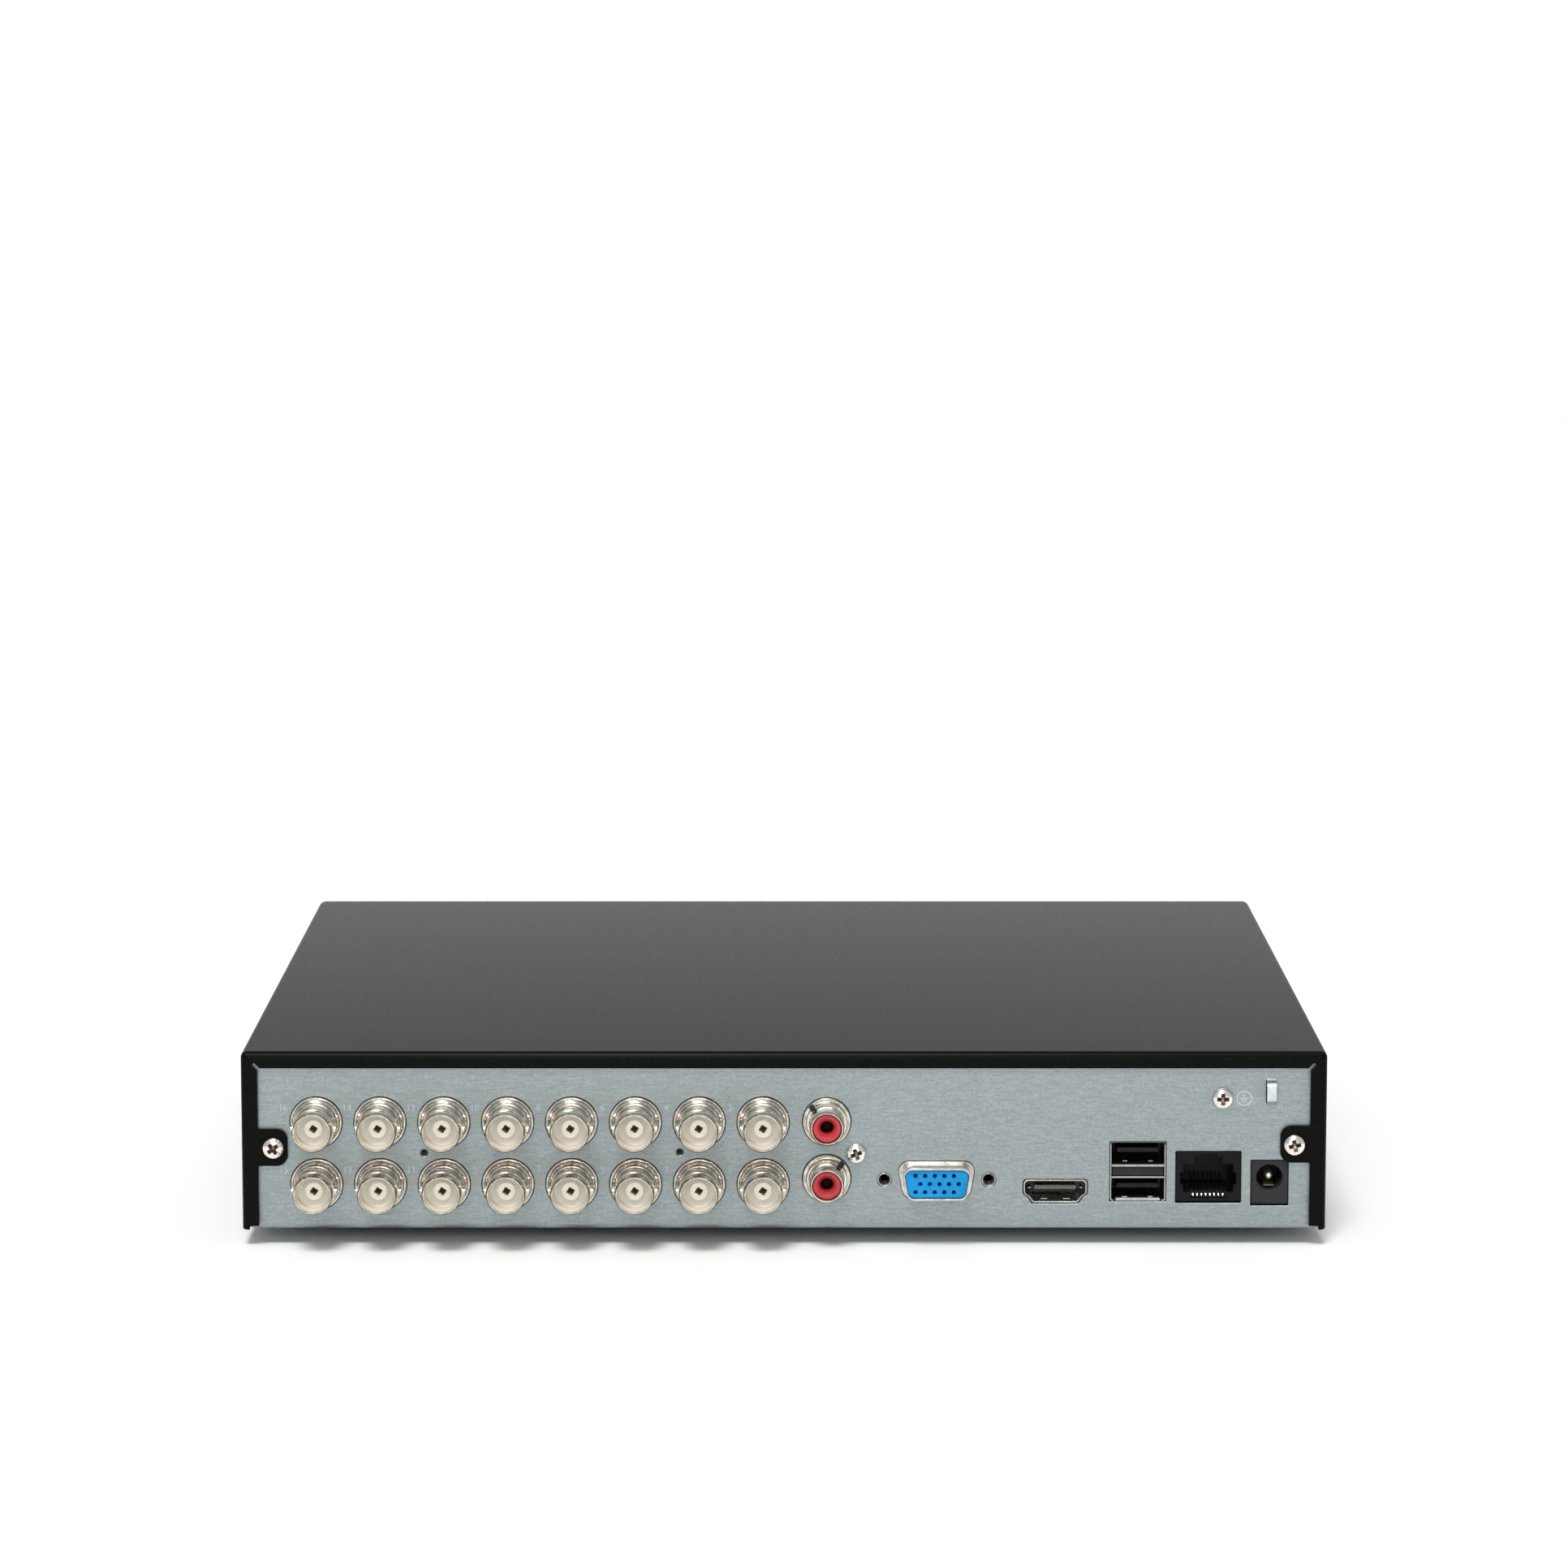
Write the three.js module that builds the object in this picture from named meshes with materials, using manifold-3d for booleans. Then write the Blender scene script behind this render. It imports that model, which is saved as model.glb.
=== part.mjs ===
// Compact 1U security video recorder with sixteen coaxial inputs.
// Millimetres, +Z up, origin on the surface it stands on, under the middle of its box.
// The connector panel faces +Y and the front bezel faces -Y.

import * as THREE from 'three';
import { mergeVertices } from 'three/addons/utils/BufferGeometryUtils.js';
import Module from 'manifold-3d';

const wasm = await Module();
wasm.setup();

// ---- driving dimensions -------------------------------------------------------------

const WIDTH = 260;
const DEPTH = 237.9;
const HEIGHT = 47.6;
const FOOT_HEIGHT = 4.2;
const JACK_REACH = 11.9;
const SHEET = 0.8;
const GAP = 0.3;

// case planes
const SIDE_OUT = WIDTH / 2;
const REAR_MOST = DEPTH / 2;
const FRONT_MOST = -DEPTH / 2;
const CASE_BOTTOM = FOOT_HEIGHT;
const FLOOR_TOP = CASE_BOTTOM + SHEET;
const FLANGE_OUT = REAR_MOST - JACK_REACH;
const PANEL_OUT = FLANGE_OUT - SHEET - GAP;
const PANEL_IN = PANEL_OUT - SHEET;
const TRAY_X = SIDE_OUT - SHEET - GAP;
const PANEL_TOP = HEIGHT - SHEET - GAP;
const TRAY_FRONT = -110;
const TRAY_SIDE_TOP = 18;
const FRONT_WALL_TOP = 40;

// cover
const BEZEL_THICK = 2.6;
const COVER_FRONT = FRONT_MOST + BEZEL_THICK + GAP;
const BEND = 1.5;
const TOP_FLANGE = 3.8;
const SIDE_FLANGE = 4;
const SIDE_FLANGE_BOTTOM = CASE_BOTTOM + 0.9;
const TAB_REACH = 11.1;
const TAB_HEIGHT = 9;
const TAB_RADIUS = 2.6;
const COVER_SCREWS = { left: [122.3, 24.3], right: [-122.2, 25.1] };
// radius of the clearance holes for screws, and of the screws' shanks
const HOLE = { panel: 1.85, board: 1.8, floor: 2, drive: 1.75 };
const SHANK = 1.45;
const VENT = { count: 10, pitch: 7, length: 3, height: 20, first: -70, low: 16 };

// main board
const BOARD_TOP = 10;
const BOARD_THICK = 1.6;
const BOARD_X = 123;
const BOARD_FRONT = 12;
const BOARD_REAR = 102;
const BOARD_SCREWS = [[-116, 20], [116, 20]];
const PROCESSOR = { x: -20, y: 52, size: 23, rise: 1.6 };
const CELL = { at: [40, 72], radius: 10, holder: 12.8 };

// coaxial input jacks: columns run along X, rows along Z
const JACK_FIRST_X = 112.1;
const JACK_PITCH = 15.3;
const JACK_COLUMNS = 8;
const JACK_ROWS = [30.2, 15.1];
const JACK = { base: 6.05, barrel: 4.83, lip: 4.45, bore: 4.05, lug: 5.5, post: 2.25 };
const JACK_MOUTH = REAR_MOST - PANEL_OUT;
const LUG_FROM_MOUTH = 5.2;
const POST_FROM_MOUTH = 5;

// other sockets on the panel: middle of each, X and Z
const AUDIO = { x: -10.24, rows: [30.45, 16.6], base: 5.75, barrel: 4.15, insert: 3.2, pin: 1.62 };
const VGA = { x: -36.6, z: 16.2, width: 18, height: 9.8, screw: 12.5, bossBack: 99 };
const HDMI = { x: -65.1, z: 13.35, halfWidth: 7.78, halfHeight: 3, back: 93 };
const USB = { x: -84.9, z: 18.2, width: 13.9, height: 15, mouth: 5.1, back: 89 };
const LAN = { x: -101.8, z: 17, width: 16.1, height: 12.7, lip: 2.2, back: 84.5 };
const POWER = { x: -116.5, z: 15.6, width: 9.4, height: 11.2, bore: 3.1, boreZ: 16.7, back: 91 };
const CONNECTOR_SCREW = [-17.3, 22.8];
const GROUND_SCREW = [-105, 36.2];
const BRIDGE = { x: -117, z: 37.5, width: 2.2, height: 6.4, rise: 1.3 };
const PIN_HOLES = [[86.3, 22.7], [25, 22.9]];
const FACE = PANEL_OUT - 0.2;

// hard drive, a 3.5 inch unit lying across the front bay with its connectors at +X
const DRIVE = { x: -35, y: -53.2, length: 147, width: 101.6, height: 26.1, bottom: FLOOR_TOP + GAP };
const DRIVE_DECK = DRIVE.bottom + 9;
const SPINDLE = [DRIVE.x - 23, DRIVE.y];
const HUB_RADIUS = 12;
const PIVOT = [DRIVE.x + 35, DRIVE.y + 26];
const DISC_RADIUS = 47.5;
const ARM_LENGTH = 50;
const PARKED_DEG = 254.6;
const DRIVE_SCREWS = [[-41, -47.6], [41, -47.6], [-41, 47.6], [41, 47.6]];

// indicator lights at the front
const LIGHTS = { x: 100, z: 14, pitch: 8, count: 3 };

const FEET = [[-108, -92], [108, -92], [-108, 76], [108, 76]];
const FOOT_RADIUS = 8;

// ---- shapes --------------------------------------------------------------------------

// A closed geometry as a solid: only its positions count, and shared corners are merged.
function solid(geometry) {
  const bare = new THREE.BufferGeometry();
  bare.setAttribute('position', geometry.getAttribute('position'));
  bare.setIndex(geometry.getIndex());
  const merged = mergeVertices(bare, 1e-4);
  const corners = merged.getIndex().array;
  const kept = [];
  for (let i = 0; i < corners.length; i += 3) {
    const [a, b, c] = corners.slice(i, i + 3);
    if (a !== b && b !== c && c !== a) kept.push(a, b, c);
  }
  const vertProperties = new Float32Array(merged.getAttribute('position').array);
  const triVerts = new Uint32Array(kept);
  return new wasm.Manifold(new wasm.Mesh({ numProp: 3, vertProperties, triVerts }));
}

function join(solids) {
  return solids.reduce((whole, piece) => whole.add(piece));
}

function cut(body, solids) {
  return solids.reduce((left, tool) => left.subtract(tool), body);
}

// A block between two opposite corners, given as a range along each axis.
function block([x0, x1], [y0, y1], [z0, z1]) {
  const geometry = new THREE.BoxGeometry(x1 - x0, y1 - y0, z1 - z0);
  return solid(geometry.translate((x0 + x1) / 2, (y0 + y1) / 2, (z0 + z1) / 2));
}

// A block given by its middle and its size.
function blockAt([x, y, z], [w, d, h]) {
  return solid(new THREE.BoxGeometry(w, d, h).translate(x, y, z));
}

function rodY([x, z], radius, [y0, y1], sides = 12) {
  const geometry = new THREE.CylinderGeometry(radius, radius, y1 - y0, sides);
  return solid(geometry.translate(x, (y0 + y1) / 2, z));
}

function rodZ([x, y], radius, [z0, z1], sides = 12) {
  const geometry = new THREE.CylinderGeometry(radius, radius, z1 - z0, sides);
  return solid(geometry.rotateX(Math.PI / 2).translate(x, y, (z0 + z1) / 2));
}

// A solid of revolution about the Y axis from a list of [radius, y] points.
function turned(profile, sides = 12) {
  const points = profile.map(([r, y]) => new THREE.Vector2(r, y));
  return new THREE.LatheGeometry(points, sides);
}

// An outline drawn in X and Z, made solid between two Y planes.
function plateY(shape, [y0, y1], curveSegments = 3) {
  const options = { depth: y1 - y0, bevelEnabled: false, curveSegments };
  const geometry = new THREE.ExtrudeGeometry(shape, options);
  return solid(geometry.rotateX(Math.PI / 2).translate(0, y1, 0));
}

// An outline drawn in X and Y, made solid between two Z planes.
function plateZ(shape, [z0, z1], curveSegments = 3) {
  const options = { depth: z1 - z0, bevelEnabled: false, curveSegments };
  return solid(new THREE.ExtrudeGeometry(shape, options).translate(0, 0, z0));
}

function outline(points) {
  return new THREE.Shape(points.map(([u, v]) => new THREE.Vector2(u, v)));
}

function circleHole([x, y], radius) {
  return new THREE.Path().absarc(x, y, radius, 0, Math.PI * 2, true);
}

// A rectangle with round corners about a middle point.
function roundedRectangle([u, v], [width, height], radius) {
  const [w, h] = [width / 2 - radius, height / 2 - radius];
  const shape = new THREE.Shape();
  shape.absarc(u + w, v + h, radius, 0, Math.PI / 2, false);
  shape.absarc(u - w, v + h, radius, Math.PI / 2, Math.PI, false);
  shape.absarc(u - w, v - h, radius, Math.PI, Math.PI * 1.5, false);
  shape.absarc(u + w, v - h, radius, Math.PI * 1.5, Math.PI * 2, false);
  return shape;
}

// The D of a VGA plug, wide side up, with each side leaning in by ten degrees.
function dOutline([u, v], width, height) {
  const lean = height * Math.tan(THREE.MathUtils.degToRad(10));
  const [w, h, c] = [width / 2, height / 2, 1.2];
  return outline([
    [u - w + c, v + h], [u - w, v + h - c], [u - w + lean, v - h + c], [u - w + lean + c, v - h],
    [u + w - lean - c, v - h], [u + w - lean, v - h + c], [u + w, v + h - c], [u + w - c, v + h],
  ]);
}

// The HDMI mouth: square shoulders above, stepped corners below, drawn inset from its hole.
function hdmiOutline(inset) {
  const [w, h] = [HDMI.halfWidth - inset, HDMI.halfHeight - inset];
  const [sx, sy] = [w / HDMI.halfWidth, h / HDMI.halfHeight];
  const [full, rise] = [HDMI.halfWidth, HDMI.halfHeight];
  const half = [[7, rise], [full, 2.2], [full, -0.7], [6.75, -1.45], [5.2, -rise]];
  const right = half.map(([u, v]) => [HDMI.x + u * sx, HDMI.z + v * sy]);
  const left = half.map(([u, v]) => [HDMI.x - u * sx, HDMI.z + v * sy]);
  return outline([...right, ...left.reverse()]);
}

// A round bar of eight sides that follows a smooth curve through the points.
function cable(points, radius, steps) {
  const curve = new THREE.CatmullRomCurve3(points.map((p) => new THREE.Vector3(...p)));
  const section = new THREE.Shape();
  for (let i = 0; i < 8; i += 1) {
    const turn = (i / 8) * Math.PI * 2;
    const corner = [radius * Math.cos(turn), radius * Math.sin(turn)];
    if (i === 0) section.moveTo(...corner);
    else section.lineTo(...corner);
  }
  const options = { steps, bevelEnabled: false, extrudePath: curve };
  return solid(new THREE.ExtrudeGeometry(section, options));
}

// A pan-head machine screw along +Y: its head stands on y = 0 and its shank runs to -Y.
function screwGeometry(head, shank, length) {
  const rise = head * 0.72;
  return turned([
    [0, -length], [shank, -length], [shank, 0], [head, 0], [head, rise * 0.5],
    [head * 0.6, rise], [0, rise],
  ], 10);
}

// ---- materials -----------------------------------------------------------------------

function finish(color, roughness, metalness) {
  return new THREE.MeshStandardMaterial({ color, roughness, metalness });
}

const powderCoat = finish(0x202221, 0.55, 0.2);
const galvanised = finish(0xa4aeae, 0.45, 0.9);
const nickel = finish(0xc9c4b8, 0.22, 1);
const zincScrew = finish(0xd2cec6, 0.28, 1);
const blackPlastic = finish(0x1b1c1d, 0.5, 0);
const glossPlastic = finish(0x101113, 0.25, 0);
const bluePlastic = finish(0x288ceb, 0.45, 0);
const redPlastic = finish(0xe13c4b, 0.4, 0);
const creamPlastic = finish(0xe9e4d8, 0.5, 0);
const clearPlastic = finish(0xdfe6ea, 0.1, 0);
const boardGreen = finish(0x1d5a35, 0.5, 0);
const castAluminium = finish(0x9fa3a6, 0.5, 0.9);
const brightSteel = finish(0xc4c8ca, 0.3, 1);
const brass = finish(0xc9a45a, 0.3, 1);
const rubber = finish(0x1a1a1a, 0.85, 0);
const redCable = finish(0xb3262b, 0.5, 0);
const greyCable = finish(0x3a3a3c, 0.6, 0);

// ---- case ----------------------------------------------------------------------------

function jackCentres() {
  const centres = [];
  for (const z of JACK_ROWS) {
    for (let i = 0; i < JACK_COLUMNS; i += 1) centres.push([JACK_FIRST_X - i * JACK_PITCH, z]);
  }
  return centres;
}

function socketBox({ x, z, width, height }) {
  return block([x - width / 2, x + width / 2], [PANEL_IN - 1, PANEL_OUT + 1],
    [z - height / 2, z + height / 2]);
}

// All the holes in the rear panel.
function panelHoles() {
  const through = [PANEL_IN - 1, PANEL_OUT + 1];
  const screwHoles = [...Object.values(COVER_SCREWS), CONNECTOR_SCREW, GROUND_SCREW];
  return [
    ...jackCentres().map((centre) => rodY(centre, JACK.base + 0.45, through)),
    ...AUDIO.rows.map((z) => rodY([AUDIO.x, z], AUDIO.base + 0.4, through)),
    ...screwHoles.map((centre) => rodY(centre, HOLE.panel, through, 10)),
    ...PIN_HOLES.map((centre) => rodY(centre, 0.75, through, 8)),
    ...[-1, 1].map((side) => rodY([VGA.x + side * VGA.screw, VGA.z], 1.9, through, 12)),
    plateY(dOutline([VGA.x, VGA.z], VGA.width, VGA.height), through),
    plateY(hdmiOutline(0), through),
    ...[USB, LAN, POWER].map(socketBox),
  ];
}

// The lanced strap on the panel that a cable tie passes under.
function tieBridge() {
  const { x, z, width, height, rise } = BRIDGE;
  const y = PANEL_OUT;
  const wide = [x - width / 2, x + width / 2];
  return join([
    block(wide, [y + rise - 0.7, y + rise], [z - height / 2, z + height / 2]),
    block(wide, [y - 0.1, y + rise - 0.1], [z + height / 2 - 1, z + height / 2]),
    block(wide, [y - 0.1, y + rise - 0.1], [z - height / 2, z - height / 2 + 1]),
  ]);
}

// Folded steel tray: floor, rear panel, low sides, front wall and pressed board posts.
function chassisGeometry() {
  const acrossX = [-TRAY_X, TRAY_X];
  const alongY = [TRAY_FRONT, PANEL_OUT];
  const posts = BOARD_SCREWS.map((at) => rodZ(at, 3.2, [FLOOR_TOP - 0.1, BOARD_TOP - BOARD_THICK - GAP]));
  const tray = join([
    block(acrossX, alongY, [CASE_BOTTOM, FLOOR_TOP]),
    block(acrossX, [PANEL_IN, PANEL_OUT], [CASE_BOTTOM, PANEL_TOP]),
    block(acrossX, [TRAY_FRONT, TRAY_FRONT + SHEET], [CASE_BOTTOM, FRONT_WALL_TOP]),
    block([TRAY_X - SHEET, TRAY_X], alongY, [CASE_BOTTOM, TRAY_SIDE_TOP]),
    block([-TRAY_X, SHEET - TRAY_X], alongY, [CASE_BOTTOM, TRAY_SIDE_TOP]),
    tieBridge(),
    ...posts,
  ]);
  const boardHoles = BOARD_SCREWS.map((at) => rodZ(at, HOLE.board, [CASE_BOTTOM - 1, BOARD_TOP]));
  const driveHoles = driveScrewPlaces().map((at) => rodZ(at, HOLE.floor, [CASE_BOTTOM - 1, FLOOR_TOP + 1]));
  const lightWindow = block([LIGHTS.x - 9, LIGHTS.x + 9], [TRAY_FRONT - 1, TRAY_FRONT + 2], [9, 19]);
  return cut(tray, [...panelHoles(), ...boardHoles, ...driveHoles, lightWindow]);
}

// The ear at mid height on a rear side flange, round at its inner corners, with its hole.
function coverTab(side, [screwX, screwZ]) {
  const inner = SIDE_OUT - TAB_REACH;
  const width = SIDE_OUT - 1 - inner;
  const middle = [side * (inner + width / 2), screwZ];
  const shape = roundedRectangle(middle, [width, TAB_HEIGHT], TAB_RADIUS);
  shape.holes.push(circleHole([screwX, screwZ], HOLE.panel));
  return plateY(shape, [FLANGE_OUT - SHEET, FLANGE_OUT]);
}

function ventSlots() {
  const slots = [];
  for (let i = 0; i < VENT.count; i += 1) {
    const y = VENT.first + i * VENT.pitch;
    slots.push(block([-SIDE_OUT - 1, SIDE_OUT + 1], [y, y + VENT.length],
      [VENT.low, VENT.low + VENT.height]));
  }
  return slots;
}

// The section across the cover: a top and two sides with rounded bends.
function coverSection() {
  const [out, low, top] = [SIDE_OUT, CASE_BOTTOM, HEIGHT];
  const inner = BEND - SHEET;
  const shape = new THREE.Shape();
  shape.moveTo(out, low);
  shape.absarc(out - BEND, top - BEND, BEND, 0, Math.PI / 2, false);
  shape.absarc(BEND - out, top - BEND, BEND, Math.PI / 2, Math.PI, false);
  shape.lineTo(-out, low);
  shape.lineTo(SHEET - out, low);
  shape.absarc(BEND - out, top - BEND, inner, Math.PI, Math.PI / 2, true);
  shape.absarc(out - BEND, top - BEND, inner, Math.PI / 2, 0, true);
  shape.lineTo(out - SHEET, low);
  return shape;
}

// Folded steel cover: top, two sides, and the flanges that turn in over the rear panel.
function coverGeometry() {
  const sheet = [FLANGE_OUT - SHEET, FLANGE_OUT];
  const shell = plateY(coverSection(), [COVER_FRONT, FLANGE_OUT]);
  const frame = plateY(flangeFrame(), sheet);
  const tabs = [coverTab(1, COVER_SCREWS.left), coverTab(-1, COVER_SCREWS.right)];
  return cut(join([shell, frame, ...tabs]), ventSlots());
}

// The rear flanges: a frame open at the bottom, with a relief notch at each upper corner.
function flangeFrame() {
  const [out, top] = [SIDE_OUT - 0.2, HEIGHT - 0.2];
  const [inX, inZ, low] = [SIDE_OUT - SIDE_FLANGE, HEIGHT - TOP_FLANGE, SIDE_FLANGE_BOTTOM];
  const right = [
    [out, low], [out, top - 1], [out - 1, top], [1 - out, top], [-out, top - 1], [-out, low],
    [-inX, low], [-inX, inZ - 1.2], [1 - inX, inZ],
  ];
  return outline([...right, [inX - 1, inZ], [inX, inZ - 1.2], [inX, low]]);
}

// Moulded front: a plate with soft edges, a rim behind it and one shallow styling groove.
function bezelGeometry() {
  const plate = [FRONT_MOST, FRONT_MOST + BEZEL_THICK];
  const middle = (CASE_BOTTOM + HEIGHT) / 2;
  const size = [WIDTH - 0.4, HEIGHT - CASE_BOTTOM - 0.4];
  const face = plateY(roundedRectangle([0, middle], size, 2.4), [plate[0] + 0.8, plate[1]]);
  const soft = plateY(roundedRectangle([0, middle], [size[0] - 1.2, size[1] - 1.2], 2), plate);
  const rimSize = [2 * TRAY_X, size[1] - 2 * SHEET - 0.4];
  const rim = plateY(roundedRectangle([0, middle], rimSize, 1.5), [plate[1] - 0.1, TRAY_FRONT - GAP]);
  const hollow = block([4 - SIDE_OUT, SIDE_OUT - 4], [plate[1], TRAY_FRONT + 1],
    [CASE_BOTTOM + 3, HEIGHT - 3.5]);
  const groove = block([-SIDE_OUT, SIDE_OUT], [plate[0] - 1, plate[0] + 0.6], [20.4, 21.4]);
  const lights = lightPlaces().map((x) => rodY([x, LIGHTS.z], 1.4, [FRONT_MOST - 1, TRAY_FRONT], 10));
  return cut(join([face, soft, rim]), [hollow, groove, ...lights]);
}

function lightPlaces() {
  const start = LIGHTS.x - (LIGHTS.pitch * (LIGHTS.count - 1)) / 2;
  return Array.from({ length: LIGHTS.count }, (_, i) => start + i * LIGHTS.pitch);
}

// Clear bar with one prong for each light, from the lamps to the front face.
function lightGuideGeometry() {
  const bar = block([LIGHTS.x - 11, LIGHTS.x + 11], [-115.4, -113.6], [LIGHTS.z - 2, LIGHTS.z + 2]);
  const prongs = lightPlaces().map((x) => rodY([x, LIGHTS.z], 1.05, [FRONT_MOST + 0.1, -115.3], 10));
  return join([bar, ...prongs]);
}

// Small circuit board with three lamps in front and its cable socket behind.
function ledBoardGeometry() {
  const board = block([LIGHTS.x - 14, LIGHTS.x + 14], [-111.6, -110.6], [8, 21]);
  const socket = block([LIGHTS.x - 5, LIGHTS.x + 5], [-110.7, -106.5], [11, 15.5]);
  const lamps = lightPlaces().map((x) => blockAt([x, -112.3, LIGHTS.z], [2.4, 1.6, 1.8]));
  return join([board, socket, ...lamps]);
}

// Moulded rubber foot, fixed under the tray.
function footGeometry() {
  const top = FOOT_HEIGHT - GAP;
  const profile = [[0, 0], [FOOT_RADIUS - 1.4, 0], [FOOT_RADIUS - 0.6, 0.8], [FOOT_RADIUS, top], [0, top]];
  return turned(profile).rotateX(Math.PI / 2);
}

// ---- coaxial inputs ------------------------------------------------------------------

// One bayonet jack: base ring through the panel, barrel with two lugs, bore open at +Y
// around the insulator post.
function jackGeometry() {
  const y = JACK_MOUTH;
  const shell = solid(turned([
    [0, -2.6], [JACK.base, -2.6], [JACK.base, 1.4], [JACK.barrel, 1.4], [JACK.barrel, y - 0.6],
    [JACK.lip, y], [JACK.bore, y], [JACK.bore, 3], [JACK.post, 3], [JACK.post, y - POST_FROM_MOUTH],
    [0, y - POST_FROM_MOUTH],
  ]));
  const lugs = [-1, 1].map((side) => (
    blockAt([side * (JACK.lug - 0.6), y - LUG_FROM_MOUTH, 0], [1.2, 1.9, 1.9])
  ));
  return join([shell, ...lugs]);
}

// The moulding behind the panel that all sixteen jacks are seated in.
function jackHousingGeometry() {
  const last = JACK_FIRST_X - (JACK_COLUMNS - 1) * JACK_PITCH;
  return block([last - 6, JACK_FIRST_X + 6], [86, PANEL_OUT - 3], [BOARD_TOP + GAP, 37.4]);
}

// ---- audio sockets -------------------------------------------------------------------

// Nickel sleeve of one audio socket: base ring, barrel and round bore.
function audioShellGeometry() {
  return turned([
    [AUDIO.insert + GAP, -2.4], [AUDIO.base, -2.4], [AUDIO.base, 0.9], [AUDIO.barrel, 0.9],
    [AUDIO.barrel, 8.9], [AUDIO.barrel - 0.4, 9.3], [AUDIO.insert + GAP, 9.3],
    [AUDIO.insert + GAP, -2.4],
  ]);
}

function audioHousingGeometry() {
  const body = block([AUDIO.x - 5.9, AUDIO.x + 5.9], [90, PANEL_OUT - 2.8], [BOARD_TOP + GAP, 36.6]);
  const ear = block([-20.4, AUDIO.x - 5.8], [PANEL_OUT - 6, PANEL_OUT - 2.8], [19.8, 25.8]);
  const posts = AUDIO.rows.map((z) => rodY([AUDIO.x, z], AUDIO.insert, [PANEL_OUT - 2.9, PANEL_OUT + 8.9]));
  const pins = AUDIO.rows.map((z) => rodY([AUDIO.x, z], AUDIO.pin, [PANEL_OUT - 2, PANEL_OUT + 10], 8));
  const screw = rodY(CONNECTOR_SCREW, HOLE.board, [PANEL_OUT - 8, PANEL_OUT], 10);
  return cut(join([body, ear, ...posts]), [...pins, screw]);
}

// ---- video, network, USB and power sockets -------------------------------------------

// VGA shell: flange behind the panel, two threaded bosses and the D sleeve.
function vgaShellGeometry() {
  const flangeShape = roundedRectangle([VGA.x, VGA.z], [30.8, 12.2], 1);
  const flange = plateY(flangeShape, [PANEL_IN - GAP - 0.8, PANEL_IN - GAP]);
  const outer = plateY(dOutline([VGA.x, VGA.z], 16.9, 8.5), [PANEL_IN - 1, PANEL_OUT + 5.6]);
  const inner = plateY(dOutline([VGA.x, VGA.z], 15.7, 7.3), [PANEL_IN - 3, PANEL_OUT + 7]);
  const sides = [[VGA.x - VGA.screw, VGA.z], [VGA.x + VGA.screw, VGA.z]];
  const bosses = sides.map((at) => rodY(at, 2.6, [VGA.bossBack, PANEL_IN - 0.4], 6));
  const threads = sides.map((at) => rodY(at, 1.35, [VGA.bossBack - 1, PANEL_IN + 1], 10));
  return cut(join([flange, outer, ...bosses]), [inner, ...threads]);
}

function vgaInsertGeometry() {
  const face = plateY(dOutline([VGA.x, VGA.z], 15, 6.6), [PANEL_IN - 2, PANEL_OUT + 4.9]);
  const body = block([VGA.x - 9, VGA.x + 9], [91, PANEL_IN - 1.5], [BOARD_TOP + GAP, 21]);
  return join([face, body]);
}

function hdmiShellGeometry() {
  const outer = plateY(hdmiOutline(GAP), [HDMI.back, FACE]);
  const inner = plateY(hdmiOutline(0.8), [HDMI.back + 0.6, FACE + 1]);
  return cut(outer, [inner]);
}

// Black core with the contact tongue.
function hdmiInsertGeometry() {
  const back = plateY(hdmiOutline(1.15), [HDMI.back + 1, HDMI.back + 3]);
  const tongue = blockAt([HDMI.x, 99.6, HDMI.z + 0.75], [10.2, 9, 0.9]);
  return join([back, tongue]);
}

// Two stacked USB mouths in one shell, with the solid web between them.
function usbShellGeometry() {
  const [w, h] = [USB.width / 2 - GAP, USB.height / 2 - GAP];
  const body = block([USB.x - w, USB.x + w], [USB.back, FACE], [USB.z - h, USB.z + h]);
  const wide = [USB.x - w + 0.4, USB.x + w - 0.4];
  const mouths = usbMouths().map((z) => (
    block(wide, [USB.back + 2, FACE + 1], [z - USB.mouth / 2, z + USB.mouth / 2])
  ));
  const back = block(wide, [USB.back + 0.6, USB.back + 3], [USB.z - h + 0.4, USB.z + h - 0.4]);
  return cut(body, [back, ...mouths]);
}

function usbMouths() {
  return [USB.z + 4.35, USB.z - 4.15];
}

// One moulding: a back wall behind the web, and a tongue into each mouth.
function usbInsertGeometry() {
  const [w, h] = [USB.width / 2 - 1, USB.height / 2 - 1];
  const back = block([USB.x - w, USB.x + w], [USB.back + 0.9, USB.back + 2.6], [USB.z - h, USB.z + h]);
  const tongues = usbMouths().map((z) => (
    block([USB.x - 5, USB.x + 5], [USB.back + 2.5, PANEL_OUT - 1.6], [z + 0.1, z + 1.9])
  ));
  return join([back, ...tongues]);
}

function lanHousingGeometry() {
  const [w, h] = [LAN.width / 2 - GAP, LAN.height / 2 - GAP];
  const low = LAN.z - h;
  const body = block([LAN.x - w, LAN.x + w], [LAN.back, FACE], [low, LAN.z + h]);
  const depth = [LAN.back + 6.5, FACE + 1];
  return cut(body, [
    block([LAN.x - 6.05, LAN.x + 6.05], depth, [low + LAN.lip, low + 9.1]),
    block([LAN.x - 3.35, LAN.x + 3.35], depth, [low + 9, low + 10.8]),
    block([LAN.x - 2.1, LAN.x + 2.1], depth, [low + 10.7, low + 11.7]),
  ]);
}

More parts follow.
